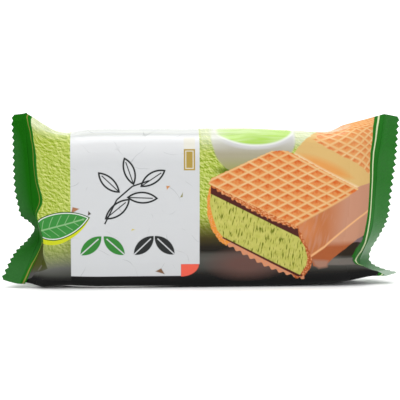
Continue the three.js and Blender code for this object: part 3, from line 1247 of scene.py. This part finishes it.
@dataclass(frozen=True)
class PaperPanel:
    """The pale panel of fibrous paper, with its red corner, plain tab and leaves."""

    left: float = -59.2
    bottom: float = 5.7
    right: float = -1.2
    top: float = 96.0
    corner: Point = (-9.6, 11.0)
    corner_radii: Point = (8.1, 5.6)
    past_corner: float = 30.0  # how far the red corner's oblong reaches off the panel
    # A sprig of tea, its leaves in line; each leaf from its stalk to its tip.
    sprig: tuple[Leaf, ...] = (
        Leaf((-43.5, 32.0), (-33.0, 40.5), (0.17, 0.2)),
        Leaf((-37.5, 44.0), (-46.5, 52.5), (0.2, 0.17)),
        Leaf((-33.5, 41.5), (-20.5, 41.0), (0.19, 0.17)),
        Leaf((-31.0, 47.5), (-35.0, 59.0), (0.17, 0.2)),
        Leaf((-27.5, 46.5), (-17.0, 53.5), (0.2, 0.17)),
    )
    stem: tuple[Point, ...] = ((-44.0, 29.5), (-38.5, 40.5), (-31.5, 46.5), (-24.0, 49.0))
    stem_width: float = 0.7
    leaf_line: float = 0.8
    row: tuple[tuple[Leaf, Colour], ...] = (
        (Leaf((-55.0, 15.5), (-45.5, 24.0), (0.22, 0.24)), Ink.LEAF_GREEN),
        (Leaf((-35.0, 15.5), (-44.5, 24.0), (0.24, 0.22)), Ink.LEAF_GREEN),
        (Leaf((-31.0, 15.5), (-22.0, 24.0), (0.22, 0.24)), Ink.CHARCOAL),
        (Leaf((-12.5, 15.5), (-21.5, 24.0), (0.24, 0.22)), Ink.CHARCOAL),
    )
    # Scraps of bark: the middle, half the size each way, the turn in degrees and the ink.
    flecks: tuple[tuple[Point, Point, float, Colour], ...] = (
        ((-57.4, 36.4), (2.1, 1.5), 20, ink(176, 124, 92)),
        ((-50.9, 34.4), (0.8, 1.2), 10, ink(88, 76, 62)),
        ((-18.8, 7.8), (2.2, 1.4), -25, ink(132, 100, 74)),
        ((-15.5, 46.1), (1.1, 0.9), 40, ink(212, 150, 92)),
        ((-9.2, 42.2), (0.5, 1.5), -20, ink(150, 146, 92)),
        ((-31.3, 26.9), (0.9, 0.5), 10, ink(220, 206, 96)),
        ((-44.1, 67.9), (1.3, 0.35), -12, ink(232, 190, 150)),
        ((-44.9, 68.8), (0.3, 1.0), 8, ink(232, 190, 150)),
    )
    tab_head: Outline = Outline.upright(-8.3, 63.2, -3.2, 69.2)
    tab: Outline = Outline.upright(-8.3, 53.6, -3.2, 63.2)
    tab_frame: Outline = Outline.upright(-7.4, 54.5, -4.1, 62.3)

    @property
    def oblong(self) -> Outline:
        """The whole panel with its corner."""
        return Outline.upright(self.left, self.bottom, self.right, self.top)

    def lay(self, press: Press) -> None:
        """Prints the panel.

        Args:
            press: The print.
        """
        red_oblong = Outline.upright(self.corner[0], self.bottom - self.past_corner,
                                     self.right + self.past_corner, self.corner[1])
        fibre = press.maths("ABSOLUTE", press.maths("SUBTRACT", press.grain(15, 0.4, 25), 0.5))
        fibre = press.rise(fibre, 1 / 190, 0)
        some = press.rise(press.grain(8, 1, shift=(40, 9)), 0.4889, 0.6)
        paper = press.blend(press.times(fibre, some), Ink.PANEL, Ink.FIBRE)
        press.fill(Rest(self.oblong, red_oblong), paper, 0.3)
        for middle, size, turn, colour in self.flecks:
            press.fill(self.fleck(middle, size, turn), colour, 0.35)
        press.fill(Overlap(red_oblong, Oval(self.corner, self.corner_radii)), Ink.CORNER_RED, 0.3)

    @staticmethod
    def fleck(middle: Point, size: Point, turn: float) -> Outline:
        """Draws a three-cornered scrap of bark.

        Args:
            middle: Its middle.
            size: Half its size each way.
            turn: How far it is turned, in degrees.

        Returns:
            The scrap.
        """
        cosine, sine = math.cos(math.radians(turn)), math.sin(math.radians(turn))
        corners = [(x * size[0], y * size[1]) for x, y in ((-1, -0.7), (1, -0.3), (-0.2, 1))]
        return Outline(tuple((middle[0] + x * cosine - y * sine, middle[1] + x * sine + y * cosine)
                             for x, y in corners))

    def lay_panel_glare(self, press: Press) -> None:
        """Prints the painted highlight that fades in towards the panel's top, and out above it.

        Args:
            press: The print.
        """
        near_top = press.rise(press.height, 57.33, 70.67)
        over_top = press.rise(press.height, 70.8, 68.8)
        panel = press.mask(self.oblong.depth(press))
        press.lay(press.times(press.times(near_top, over_top), panel), Ink.PANEL_GLARE)

    def lay_leaves(self, press: Press) -> None:
        """Prints the sprig and the row of leaves.

        Args:
            press: The print.
        """
        for start, end in zip(self.stem, self.stem[1:]):
            press.fill(Outline.strip(start, end, self.stem_width), Ink.CHARCOAL)
        for leaf in self.sprig:
            press.draw(leaf, Ink.CHARCOAL, self.leaf_line)
            press.fill(leaf.midrib, Ink.CHARCOAL)
        for leaf, colour in self.row:
            press.fill(leaf, colour)
            press.fill(leaf.midrib, Ink.PANEL)

    def lay_tab(self, press: Press) -> None:
        """Prints the plain gold tab that hangs from the panel's top edge.

        Args:
            press: The print.
        """
        press.fill(self.tab_head, Ink.TAB_PALE)
        press.fill(self.tab, Ink.TAB_GOLD)
        press.draw(self.tab_frame, Ink.TAB_PALE, 0.35)


@dataclass(frozen=True)
class LeafBadge:
    """The large leaf that lies over the panel's left edge, with its yellow shade."""

    leaf: Leaf = Leaf((-80.5, 25.0), (-50.6, 32.6), (0.205, 0.2))
    shade: Leaf = Leaf((-80.5, 22.9), (-50.6, 32.6), (0.16, 0.22))
    # Inside its dark edge: how far in each field starts, and its ink.
    rings: tuple[tuple[float, Colour], ...] = ((0.45, Ink.WHITE), (0.85, Ink.BADGE_GREEN))
    vein_inset: float = 1.6
    vein_pitch: float = 4.2
    vein_slant: float = -0.9
    half_rib: float = 0.3

    def lay(self, press: Press) -> None:
        """Prints the leaf.

        Args:
            press: The print.
        """
        press.fill(self.shade, Ink.BADGE_YELLOW)
        depth = self.leaf.depth(press)
        press.lay(press.mask(depth), Ink.BADGE_EDGE)
        for inset, colour in self.rings:
            press.lay(press.mask(press.maths("SUBTRACT", depth, inset)), colour)
        inside = press.mask(press.maths("SUBTRACT", depth, self.vein_inset))
        (x0, y0), (x1, y1) = self.leaf.stalk, self.leaf.tip
        long = math.hypot(x1 - x0, y1 - y0)
        along, up = (x1 - x0) / long, (y1 - y0) / long
        run = press.measure((along, up, -along * x0 - up * y0))
        side = press.maths("ABSOLUTE", press.measure((-up, along, up * x0 - along * y0)))
        slant = press.maths("MULTIPLY_ADD", side, self.vein_slant, run)
        repeat = press.maths("FRACT", press.maths("DIVIDE", slant, self.vein_pitch))
        away = press.maths("ABSOLUTE", press.maths("SUBTRACT", repeat, 0.5))
        vein = press.rise(away, 1 / 12, 0)
        rib = press.mask(press.maths("SUBTRACT", self.half_rib, side))
        press.lay(press.times(press.maths("MAXIMUM", vein, rib), inside), Ink.BADGE_VEIN)


@dataclass(frozen=True)
class TeaBowl:
    """The pictured bowl of green tea, its far side over the pack's top."""

    shadow: Oval = Oval((12.5, 53.4), (5.5, 1.6))
    body: Shape = Overlap(
        Together(Oval((23.3, 68.5), (19.2, 15.0)), Oval((22.8, 64.5), (17.6, 13.2))),
        Outline.upright(0, 40, 45, 74))
    rim: Oval = Oval((23.4, 73.5), (19.3, 10.3))
    inside: Oval = Oval((24.0, 74.0), (18.0, 9.5))
    tea: Oval = Oval((24.0, 74.2), (17.2, 8.9))

    def lay(self, press: Press) -> None:
        """Prints the bowl.

        Args:
            press: The print.
        """
        press.fill(self.shadow, Ink.UNDER_BOWL, 1.8)
        pale = press.rise(press.up, 60.83, 69.17)
        press.fill(self.body, press.blend(pale, Ink.BOWL, Ink.BOWL_PALE), 0.8)
        low = press.rise(press.up, 60.0, 53.75)
        press.lay(press.times(press.mask(self.body.depth(press), 0.8), low), Ink.BOWL_SHADE)
        press.fill(self.rim, Ink.BOWL_PALE, 1.2)
        press.fill(self.inside, Ink.WHITE, 0.8)
        ripple = press.rise(press.grain(3.0, 1, 0, (5, 0.6)), 0.4, 0.7333)
        press.fill(self.tea, press.blend(ripple, Ink.TEA, Ink.TEA_PALE), 0.9)


@dataclass(frozen=True)
class WaferPicture:
    """The pictured wafer bars: one cut open in front, and a whole one behind it."""

    far_bar: Shape = Together(
        Outline(((41.9, 61.5), (43.6, 64.6), (45.6, 67.0), (48.4, 69.8), (63.0, 74.0),
                 (96.0, 74.0), (96.0, 40.0), (64.0, 40.0))),
        Outline(((46.6, 68.0), (48.6, 70.0), (50.0, 76.0), (51.0, 96.0), (96.0, 96.0),
                 (96.0, 60.0))))
    far_top: Shape = Together(
        Outline(((50.2, 68.8), (63.0, 74.0), (96.0, 74.0), (96.0, 43.6), (77.5, 53.0))),
        Outline(((49.6, 68.7), (51.6, 72.0), (53.0, 78.0), (54.0, 96.0), (96.0, 96.0),
                 (96.0, 60.0))))
    far_grid: WaferGrid = WaferGrid(
        ((44.8, 69.1), (64.8, 76.0), (85.9, 63.5), (74.4, 53.0)), (7, 5), ridge=0.06, strength=0.75)
    far_glow: Leaf = Leaf((46.0, 61.0), (68.0, 51.0), (0.09, 0.13))
    far_edge: Outline = Outline.strip((42.0, 61.4), (74.0, 44.6), 1.0)
    near_top: Outline = Outline(((2.8, 47.6), (4.4, 50.1), (31.5, 62.5), (38.4, 62.8),
                                 (43.0, 60.9), (72.4, 45.2), (42.2, 28.4)))
    near_grid: WaferGrid = WaferGrid(
        ((-2.6, 45.9), (34.9, 63.9), (74.2, 43.7), (38.5, 24.8)), (9, 8))
    near_edge: Outline = Outline.strip((42.6, 28.7), (67.0, 42.4), 0.8)
    side: Outline = Outline(((42.0, 28.8), (66.4, 45.2), (73.0, 46.6), (84.0, 52.0),
                             (84.0, 38.0), (49.8, 14.0), (47.8, 17.0)))
    side_glow: Oval = Oval((46.0, 27.0), (6.0, 6.0))
    flange: Outline = Outline.strip((49.6, 13.9), (84.0, 38.4), 0.9)
    lower: Outline = Outline(((49.8, 14.0), (84.0, 38.0), (84.0, 26.6), (74.1, 19.6),
                              (59.2, 10.9), (53.8, 9.0), (51.0, 9.4)))
    lower_glow: Outline = Outline(((50.6, 12.4), (59.2, 11.8), (57.4, 8.9), (53.6, 8.3),
                                   (51.8, 9.6)))
    rim: Outline = Outline(((5.0, 48.4), (3.2, 45.5), (2.2, 40.4), (2.3, 33.4), (4.3, 26.8),
                            (7.9, 21.3), (10.9, 19.4), (14.0, 22.0), (10.0, 40.0)))
    right_rim: Outline = Outline(((42.6, 29.4), (43.8, 27.4), (47.7, 19.6), (49.9, 14.4),
                                  (50.5, 11.6), (49.6, 8.4), (47.0, 5.0), (43.0, 3.6),
                                  (40.0, 8.0), (40.0, 26.0)))
    chocolate: Outline = Outline(((4.0, 48.2), (43.4, 28.4), (44.4, 22.6), (40.0, 24.6),
                                  (3.8, 42.6)))
    crumbs: Outline = Outline(((3.2, 47.2), (4.8, 49.8), (44.6, 31.6), (43.8, 26.6),
                               (31.6, 30.9), (22.5, 35.4), (14.5, 40.0), (5.4, 45.3)))
    filling: Outline = Outline(((3.8, 43.0), (44.1, 23.0), (47.0, 18.4), (48.2, 13.5),
                                (47.7, 9.9), (44.9, 5.4), (9.1, 23.6), (6.8, 26.5),
                                (4.5, 33.5), (3.4, 38.7)))
    lower_line: Outline = Outline(((9.4, 24.0), (45.2, 6.2), (46.0, 4.9), (44.0, 4.6),
                                   (9.2, 22.8)))
    lower_rim: Outline = Outline(((9.8, 23.2), (46.0, 5.4), (47.0, 3.4), (44.0, 4.3),
                                  (35.6, 7.0), (27.9, 10.4), (20.3, 14.7), (11.1, 19.8)))
    reflection: Oval = Oval((20.0, 11.0), (13.0, 5.5))

    def lay(self, press: Press) -> None:
        """Prints the picture, from what lies behind to what lies in front.

        Args:
            press: The print.
        """
        tone = press.grain(9.0, 1)
        spots = press.rise(press.grain(0.9, 2), 0.48, 0.68)
        self.lay_far_bar(press, tone)
        press.fill(self.reflection, Ink.REFLECTION, 6.0)
        press.fill(self.lower_rim, press.blend(spots, Ink.LOWER_RIM, Ink.SIDE_PALE), 0.35,
                   self.wave(press, (11.3, 19.0), (41.2, 4.9), 3.7, 0.5))
        wander = press.wander(0.3, 1.1)
        press.fill(self.rim, press.blend(spots, Ink.RIM, Ink.CRUMB_LIGHT), 0.3, wander)
        self.lay_side(press)
        press.fill(self.right_rim, press.blend(spots, Ink.RIGHT_RIM, Ink.CRUMB_LIGHT), 0.4, wander)
        press.fill(self.chocolate, Ink.CHOCOLATE, 0.3)
        knobs = self.wave(press, (4.4, 46.4), (43.0, 27.4), 2.6, 0.25)
        knobs = press.maths("ADD", knobs, press.wander(0.45, 1.2))
        rough = press.rise(press.grain(0.9, 2, -26, (1.4, 0.8)), 0.4333, 0.6)
        press.fill(self.crumbs, press.blend(rough, Ink.CRUMB, Ink.CRUMB_LIGHT), 0.5, knobs)
        self.near_grid.lay(press, self.near_top, tone, press.wander(0.25, 1.2))
        press.fill(self.near_edge, Ink.RIDGE, 0.9)
        self.lay_filling(press)

    @staticmethod
    def wave(press: Press, start: Point, end: Point, pitch: float, reach: float) -> Socket:
        """Scallops an edge.

        Args:
            press: The print.
            start: Where the edge starts.
            end: Where it ends.
            pitch: The length of a scallop in millimetres.
            reach: How far it swings to either side.

        Returns:
            What to add to the depth of the edge's shape.
        """
        run = np.subtract(end, start) / math.dist(start, end)
        along = press.measure((run[0], run[1], -run @ np.array(start)))
        swing = press.maths("SINE", press.times(along, 2 * math.pi / pitch))
        return press.times(swing, reach)

    def lay_far_bar(self, press: Press, tone: Socket) -> None:
        """Prints the whole bar behind, with the bevel that leads to its grid.

        Args:
            press: The print.
            tone: A cloudy value about 0.5 that makes some of the grid paler.
        """
        glow = press.mask(self.far_glow.depth(press), 3.2)
        bevel = press.blend(glow, Ink.BEVEL, Ink.BEVEL_GLOW)
        press.fill(self.far_bar, bevel, 0.5, press.wander(0.2, 2.0))
        self.far_grid.lay(press, self.far_top, tone, press.wander(0.35, 2.0))
        press.fill(self.far_edge, Ink.RIDGE_PALE, 1.2)

    def lay_side(self, press: Press) -> None:
        """Prints the near bar's streaked side and its lower half.

        Args:
            press: The print.
        """
        glow = press.mask(self.side_glow.depth(press), 6.0)
        side = press.blend(glow, Ink.SIDE, Ink.SIDE_GLOW)
        # painted reflection: the side grows paler towards the right, where the film throws back the
        # white around it
        pale = press.rise(press.along, 56.5, 66.5)
        streaks = press.rise(press.grain(2.4, 1, -14, (0.7, 4)), 0.4583, 0.875)
        side = press.blend(press.maths("MAXIMUM", pale, streaks), side, Ink.SIDE_PALE)
        press.fill(self.side, side, 0.4)
        low = press.rise(press.up, 21.143, 18.286)
        press.fill(self.lower, press.blend(low, Ink.LOWER_PINK, Ink.LOWER_HALF), 0.5)
        press.fill(self.lower_glow, Ink.FOOT_ROSE, 1.4)
        press.fill(self.flange, Ink.FLANGE, 0.6)

    def lay_filling(self, press: Press) -> None:
        """Prints the cut face of the ice cream, with its pores.

        Args:
            press: The print.
        """
        cloud = press.rise(press.grain(2.4, 2), 0.3333, 0.6667)
        pores = press.rise(press.grain(1.4, 1.5, -7, (0.5, 2.5)), 0.5375, 0.6625)
        cream = press.blend(pores, press.blend(cloud, Ink.ICE, Ink.ICE_LIGHT), Ink.ICE_PORE)
        press.fill(self.lower_line, Ink.CHOCOLATE, 0.3)
        press.fill(self.filling, cream, 0.35)


@dataclass(frozen=True)
class DarkFoot:
    """The dark foot of both faces, with the fields at its two ends; a painted reflection of the
    floor makes it paler in its middle.
    """

    # Fades from the black foot up to the lime; the greys in them are a painted reflection of the
    # floor in the black film.
    left_fade: Fade = (
        (0.0, Ink.BLACK, 1.0), (3.0, ink(34, 34, 32), 1.0), (4.6, ink(56, 56, 53), 1.0),
        (6.6, ink(88, 89, 84), 1.0), (9.5, ink(108, 109, 104), 1.0),
        (11.5, ink(116, 118, 104), 0.9), (14.0, ink(118, 122, 100), 0.75),
        (18.0, ink(124, 132, 92), 0.5), (27.0, ink(124, 132, 92), 0.0))
    right_fade: Fade = (
        (0.0, Ink.BLACK, 1.0), (4.4, ink(27, 27, 25), 1.0), (6.6, ink(46, 45, 43), 1.0),
        (9.5, ink(80, 80, 76), 1.0), (13.4, ink(93, 93, 88), 1.0), (15.4, ink(86, 85, 80), 1.0),
        (17.0, ink(46, 44, 38), 1.0), (19.0, ink(50, 46, 36), 1.0), (23.0, ink(78, 71, 42), 1.0),
        (27.0, ink(98, 94, 44), 0.85), (34.0, ink(120, 116, 50), 0.0))
    # painted shade: the lower left facet that turns away from the light, olive above and grey below
    corner: Shape = Together(
        Outline(((-79, 25), (-76.9, 25), (-69.3, 10.2), (-72.9, 8.4), (-79, 7.6))),
        Outline(((-79, 9), (-72.9, 8.6), (-75.3, 2.7), (-76.3, -3), (-79, -4))))
    # Fields over the fades, each with its ink and how soft its edge is. The pale grey ones are
    # painted highlights on the folds, and the mauve one is a painted reflection.
    fields: tuple[tuple[Outline, Colour, float], ...] = (
        (Outline.strip((-73.4, 9.8), (-72.4, 11.6), 0.4), Ink.FOOT_HIGHLIGHT, 0.5),
        (Outline(((56, 14), (88, 32), (88, 13))), Ink.FOOT_DARK, 1.5),
        (Outline(((74.4, 22.6), (78.6, 24.2), (81.0, 20.0), (74.2, 19.8))), Ink.FOOT_MAUVE_REFLECTION, 0.6),
        (Outline(((54, 9.8), (66, 9.8), (79, 10.2), (79, 12.8), (54, 12.8))), Ink.FOOT_HIGHLIGHT, 0.6),
        (Outline.upright(-59.2, -30, 120, 5.6), Ink.BLACK, 0.5))
    # The pale strip's upper edge: how it rises along the film, and how high it ends.
    strip_slope: Point = (0.45, 27.3)
    strip_top: float = 0.3

    def lay_fades(self, press: Press) -> None:
        """Prints the foot's fades, the left one and then the right one over it.

        Args:
            press: The print.
        """
        for stops, side_of, along, soft in ((self.left_fade, press.left_of, -8, 4.0),
                                            (self.right_fade, press.right_of, -52, 26.0)):
            ramp = press.fade(press.height, stops)
            here = side_of(along, soft)
            press.lay(press.times(ramp.outputs["Alpha"], here), ramp.outputs["Color"])

    def lay_fields(self, press: Press) -> None:
        """Prints the painted shade of the lower left facet, the fields at the foot's two ends, and
        the pale strip under it.

        Args:
            press: The print.
        """
        shade_reach = press.rise(press.up, 24.5, 19.5)
        lower_shade = press.rise(press.up, 12.0, 7.0)
        press.lay(press.times(shade_reach, press.mask(self.corner.depth(press), 0.4)),
                  press.blend(lower_shade, Ink.CORNER_SHADE_OLIVE, Ink.CORNER_SHADE_GREY))
        for field, colour, soft in self.fields:
            press.fill(field, colour, soft)
        level = press.maths("MULTIPLY_ADD", press.along, *self.strip_slope)
        level = press.maths("MINIMUM", level, self.strip_top)
        under = press.mask(press.maths("SUBTRACT", level, press.height), 0.4)
        press.lay(press.times(under, press.left_of(-22, 24.0)), Ink.UNDERSIDE)


@dataclass(frozen=True)
class GreenEnds:
    """The green ends, each with its gold line, with painted shade at the left weld and painted
    highlights outwards and towards the feet.
    """

    left: Shape = Together(Outline.upright(-120, 21, -75, 200),
                           Outline.upright(-120, -30, -76.7, 200))
    right_fold: Outline = Outline(((77.9, 13.0), (82.0, 13.0), (82.0, 22.0), (79.7, 22.0)))
    # The gold lines: the place along the film, the width and the ink.
    lines: tuple[tuple[float, float, Colour], ...] = (
        (-77.6, 0.6, Ink.OLD_GOLD), (82.0, 0.85, Ink.CREAM_GOLD))
    # how strongly the painted highlight on the flared foot prints
    flare_highlight_strength: float = 0.5

    def lay(self, press: Press) -> None:
        """Prints both ends.

        Args:
            press: The print.
        """
        press.fill(self.left, Ink.SEAL_GREEN, 0.3)
        # painted light on the left band: painted shade near the weld, painted highlight outwards
        # and towards its foot
        outward = press.rise(press.along, -86.43, -93.57)
        low = press.rise(press.up, 21.11, 10.0)
        left = press.blend(press.maths("MAXIMUM", outward, low), Ink.WELD_SHADE_GREEN, Ink.TIP_HIGHLIGHT_GREEN)
        press.lay(press.left_of(-78.8, 1.6), left)
        # painted highlight: the right band's green lightens towards its foot
        low = press.rise(press.up, 50.0, 4.55)
        right = press.blend(low, Ink.SEAL_GREEN, Ink.RIGHT_HIGHLIGHT_GREEN)
        press.lay(press.right_of(79.8, 0.3),
                  press.blend(press.right_of(83.0, 1.0), Ink.SEAL_GREEN, right))
        # painted highlight on the flared foot, low down and past the right weld
        lit_flare = press.times(press.rise(press.height, 9.5, 4.5), press.right_of(84.2, 0.4))
        press.lay(press.times(lit_flare, self.flare_highlight_strength), Ink.FLARE_HIGHLIGHT)
        press.fill(self.right_fold, Ink.SEAL_GREEN, 0.5)
        for along, width, colour in self.lines:
            away = press.maths("ABSOLUTE", press.maths("SUBTRACT", press.along, along))
            press.lay(press.mask(press.maths("SUBTRACT", width / 2, away), 0.3), colour)


@dataclass(frozen=True)
class PrintedFilm:
    """A finish of the wrap and its seals: a glossy film with the print under it."""

    name: str = "printed_film"
    roughness: float = 0.24
    glass: float = 1.25  # its index, low because the print drinks most of the light
    # painted sheen: light added to the base colour of the right part's inks, standing in for the
    # gloss this duller film lacks
    painted_sheen: float = 0.0  # what it adds to the right part's inks, to look glossier head-on
    painted_sheen_from: float = -76.0
    # The plain oblongs on the back: how far they reach to each side, their heights, their edge.
    oblong_reach: float = 48.0
    oblong_heights: Pairs = ((13.0, 30.0), (49.0, 65.0))
    # The bands of painted glare along the top: the heights where one starts and is full, where it
    # starts and ends along the film, and its least strength. Those that start below the line stay
    # on the front.
    glare_bands: tuple[tuple[float, float, float, float, float], ...] = (
        (68, 72.5, -90, 30, 0.06), (70, 74, -90, -61, 0.3), (62, 68, -1, 9, 0.3),
        (63.5, 68, 42, 54, 0.5))
    glare_line: float = 68.0
    glare_front: float = 84.0  # where the front's bands end, over the top

    def material(self) -> bpy.types.Material:
        """Makes the finish.

        Returns:
            The material.
        """
        made, shader = new_finish(self.name)
        tree = made.node_tree
        press = Press(tree, Ink.LIME, FilmWrap().top_line)
        self.print_on(press)
        # painted sheen: the same light added to every ink on the right part
        if self.painted_sheen:
            sheen_added = press.add("ShaderNodeMix", {"data_type": "RGBA", "blend_type": "ADD"},
                               {"Factor": press.right_of(self.painted_sheen_from, 1.0), 6: press.colour,
                                7: (self.painted_sheen, self.painted_sheen, self.painted_sheen, 1)})
            press.colour = sheen_added.outputs[2]
        tree.links.new(press.colour, shader.inputs["Base Color"])
        shader.inputs["Roughness"].default_value = self.roughness
        shader.inputs["IOR"].default_value = self.glass
        return made

    def print_on(self, press: Press) -> None:
        """Prints every field of the pack in order.

        Args:
            press: The print.
        """
        self.lay_powder(press)
        foot = DarkFoot()
        foot.lay_fades(press)
        foot.lay_fields(press)
        self.lay_back(press)
        panel = PaperPanel()
        panel.lay(press)
        panel.lay_panel_glare(press)
        panel.lay_leaves(press)
        panel.lay_tab(press)
        LeafBadge().lay(press)
        TeaBowl().lay(press)
        self.lay_top_glare(press)
        WaferPicture().lay(press)
        GreenEnds().lay(press)

    def lay_powder(self, press: Press) -> None:
        """Prints the tea powder, as crumbs lit from one side.

        Args:
            press: The print.
        """
        lit = [press.grain(1.5, 3, -30, (1.15, 0.95), shift) for shift in ((0, 0), (0.24, 0.32))]
        relief = press.maths("SUBTRACT", *lit)
        press.lay(press.rise(relief, 0.0125, 0.1375), Ink.LIME_LIGHT)
        press.lay(press.rise(relief, -0.0125, -0.1375), Ink.LIME_DARK)
        cloud = press.rise(press.grain(13, 2), 0.4583, 0.875)
        press.lay(press.times(cloud, 0.4), Ink.LIME_LIGHT)

    def lay_back(self, press: Press) -> None:
        """Prints two plain pale oblongs on the back, above and below the seam.

        Args:
            press: The print.
        """
        for low, high in self.oblong_heights:
            sides = press.maths("SUBTRACT", self.oblong_reach, press.maths("ABSOLUTE", press.along))
            ends = press.maths("MINIMUM", press.maths("SUBTRACT", press.height, low),
                               press.maths("SUBTRACT", high, press.height))
            shown = press.mask(press.maths("MINIMUM", sides, ends), 0.3)
            press.lay(press.times(shown, press.on_back), Ink.TAB_PALE)

    def lay_top_glare(self, press: Press) -> None:
        """Prints the painted glare in streaks along the top, lower beside the panel than elsewhere.

        Args:
            press: The print.
        """
        streaks = press.rise(press.grain(1.5, 2, 0, (12, 0.5)), 0.3167, 0.65)
        for low, high, left, right, least in self.glare_bands:
            rise = press.rise(press.height, low, high)
            here = press.times(press.left_of(right, 9.0), press.right_of(left, 2.0))
            if low < self.glare_line:
                front = press.mask(press.measure((0, -1, self.glare_front)), 4.0)
                here = press.times(here, front)
            some = press.maths("MULTIPLY_ADD", streaks, 0.3, least)
            press.lay(press.times(some, press.times(rise, here)), Ink.TOP_GLARE)


# ------------------------------------------------------------------ light and camera


@dataclass(frozen=True)
class Softbox:
    """A soft rectangular lamp that faces the pack."""

    name: str
    place: Point3  # in metres
    size: Point
    power: float  # in watts
    aim: Point3 = (0.0, 0.0, 0.04)

    def hang(self) -> bpy.types.Object:
        """Hangs the lamp.

        Returns:
            The lamp.
        """
        data = bpy.data.lights.new(self.name, "AREA")
        data.shape = "RECTANGLE"
        data.size, data.size_y = self.size
        data.energy = self.power
        hung = put_in_scene(self.name, data)
        hung.location = self.place
        way = Vector(self.aim) - Vector(self.place)
        hung.rotation_euler = way.to_track_quat("-Z", "Y").to_euler()
        return hung


@dataclass(frozen=True)
class Studio:
    """A plain pale floor, soft light and the camera."""

    target: Point3 = (-1.98, -0.35, 39.17)  # what the camera looks at, in millimetres
    azimuth: float = -4.0
    elevation: float = 4.0
    distance: float = 520.0
    focal: float = 100.65
    clip: Point = (0.01, 50.0)  # in metres, as the floor is
    floor_size: float = 1.6
    floor_pale: float = 0.95
    floor_roughness: float = 0.8
    # How far to the side the white starts and stops dimming, and its strength at both.
    dimming: tuple[float, float, float, float] = (0.27, 0.7, 1.45, 0.5)
    lamps: tuple[Softbox, ...] = (
        Softbox("overhead_softbox", (0.0, 0.05, 1.0), (0.8, 0.4), 5.0),
        Softbox("sheen_softbox", (-0.2, -0.6, 0.75), (0.5, 0.06), 1.2))

    def camera(self) -> bpy.types.Object:
        """Sets the camera in front of the pack, a little to its left and above.

        Returns:
            The camera.
        """
        turn, rise = math.radians(self.azimuth), math.radians(self.elevation)
        back = Vector((math.sin(turn) * math.cos(rise), -math.cos(turn) * math.cos(rise),
                       math.sin(rise)))
        data = bpy.data.cameras.new("camera")
        data.lens = self.focal
        data.clip_start, data.clip_end = self.clip
        seen = put_in_scene("camera", data)
        seen.location = (Vector(self.target) + back * self.distance) * MM
        seen.rotation_euler = back.to_track_quat("Z", "Y").to_euler()
        bpy.context.scene.camera = seen
        return seen

    def floor(self) -> bpy.types.Object:
        """Lays the pale floor.

        Returns:
            The floor.
        """
        made = bmesh.new()
        bmesh.ops.create_grid(made, x_segments=1, y_segments=1, size=self.floor_size / 2)
        mesh = bpy.data.meshes.new("floor")
        made.to_mesh(mesh)
        made.free()
        laid = put_in_scene("floor", mesh)
        pale, shader = new_finish("pale_floor")
        shader.inputs["Base Color"].default_value = (*(self.floor_pale,) * 3, 1)
        shader.inputs["Roughness"].default_value = self.floor_roughness
        mesh.materials.append(pale)
        return laid

    def sky(self) -> bpy.types.World:
        """Surrounds the pack with white, dimmer past its two ends.

        Returns:
            The world.
        """
        world = bpy.data.worlds.new("studio")
        world.use_nodes = True
        tree = world.node_tree
        way = add_node(tree, "ShaderNodeTexCoord").outputs["Generated"]
        split = add_node(tree, "ShaderNodeSeparateXYZ", inputs={0: way})
        past = add_node(tree, "ShaderNodeMath", {"operation": "ABSOLUTE"}, {0: split.outputs["X"]})
        names = ("From Min", "From Max", "To Min", "To Max")
        dim = add_node(tree, "ShaderNodeMapRange", {"interpolation_type": "SMOOTHSTEP"},
                       {**dict(zip(names, self.dimming)), "Value": past.outputs[0]})
        background = tree.nodes["Background"]
        background.inputs["Color"].default_value = (1, 1, 1, 1)
        tree.links.new(dim.outputs["Result"], background.inputs["Strength"])
        bpy.context.scene.world = world
        return world

    def build(self) -> None:
        """Sets the whole studio up."""
        bpy.context.scene.view_settings.view_transform = "Standard"
        self.sky()
        self.camera()
        self.floor()
        for lamp in self.lamps:
            lamp.hang()


def main() -> None:
    """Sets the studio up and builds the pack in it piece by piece."""
    logging.basicConfig(level=logging.INFO, format="%(name)s: %(message)s")
    Studio().build()
    taut = PrintedFilm().material()
    slack = PrintedFilm("slack_film", roughness=0.4, glass=1.03, painted_sheen=0.011).material()
    crimped = PrintedFilm("crimped_film", roughness=0.4, glass=1.03).material()
    bright = PrintedFilm("bright_film", roughness=0.3, glass=1.36).material()
    wrap = FilmWrap()
    pieces = (wrap.build(taut, slack),
              EndSeal("left_seal", LEFT_END, camber=-0.7, flap=0.034).build(wrap, crimped),
              EndSeal("right_seal", RIGHT_END, print_margin=4.5).build(wrap, bright),
              LongSeam().build(wrap, taut))
    for piece in pieces:
        LOG.info("%s: %d faces", piece.name, len(piece.data.polygons))


if __name__ == "__main__":
    main()
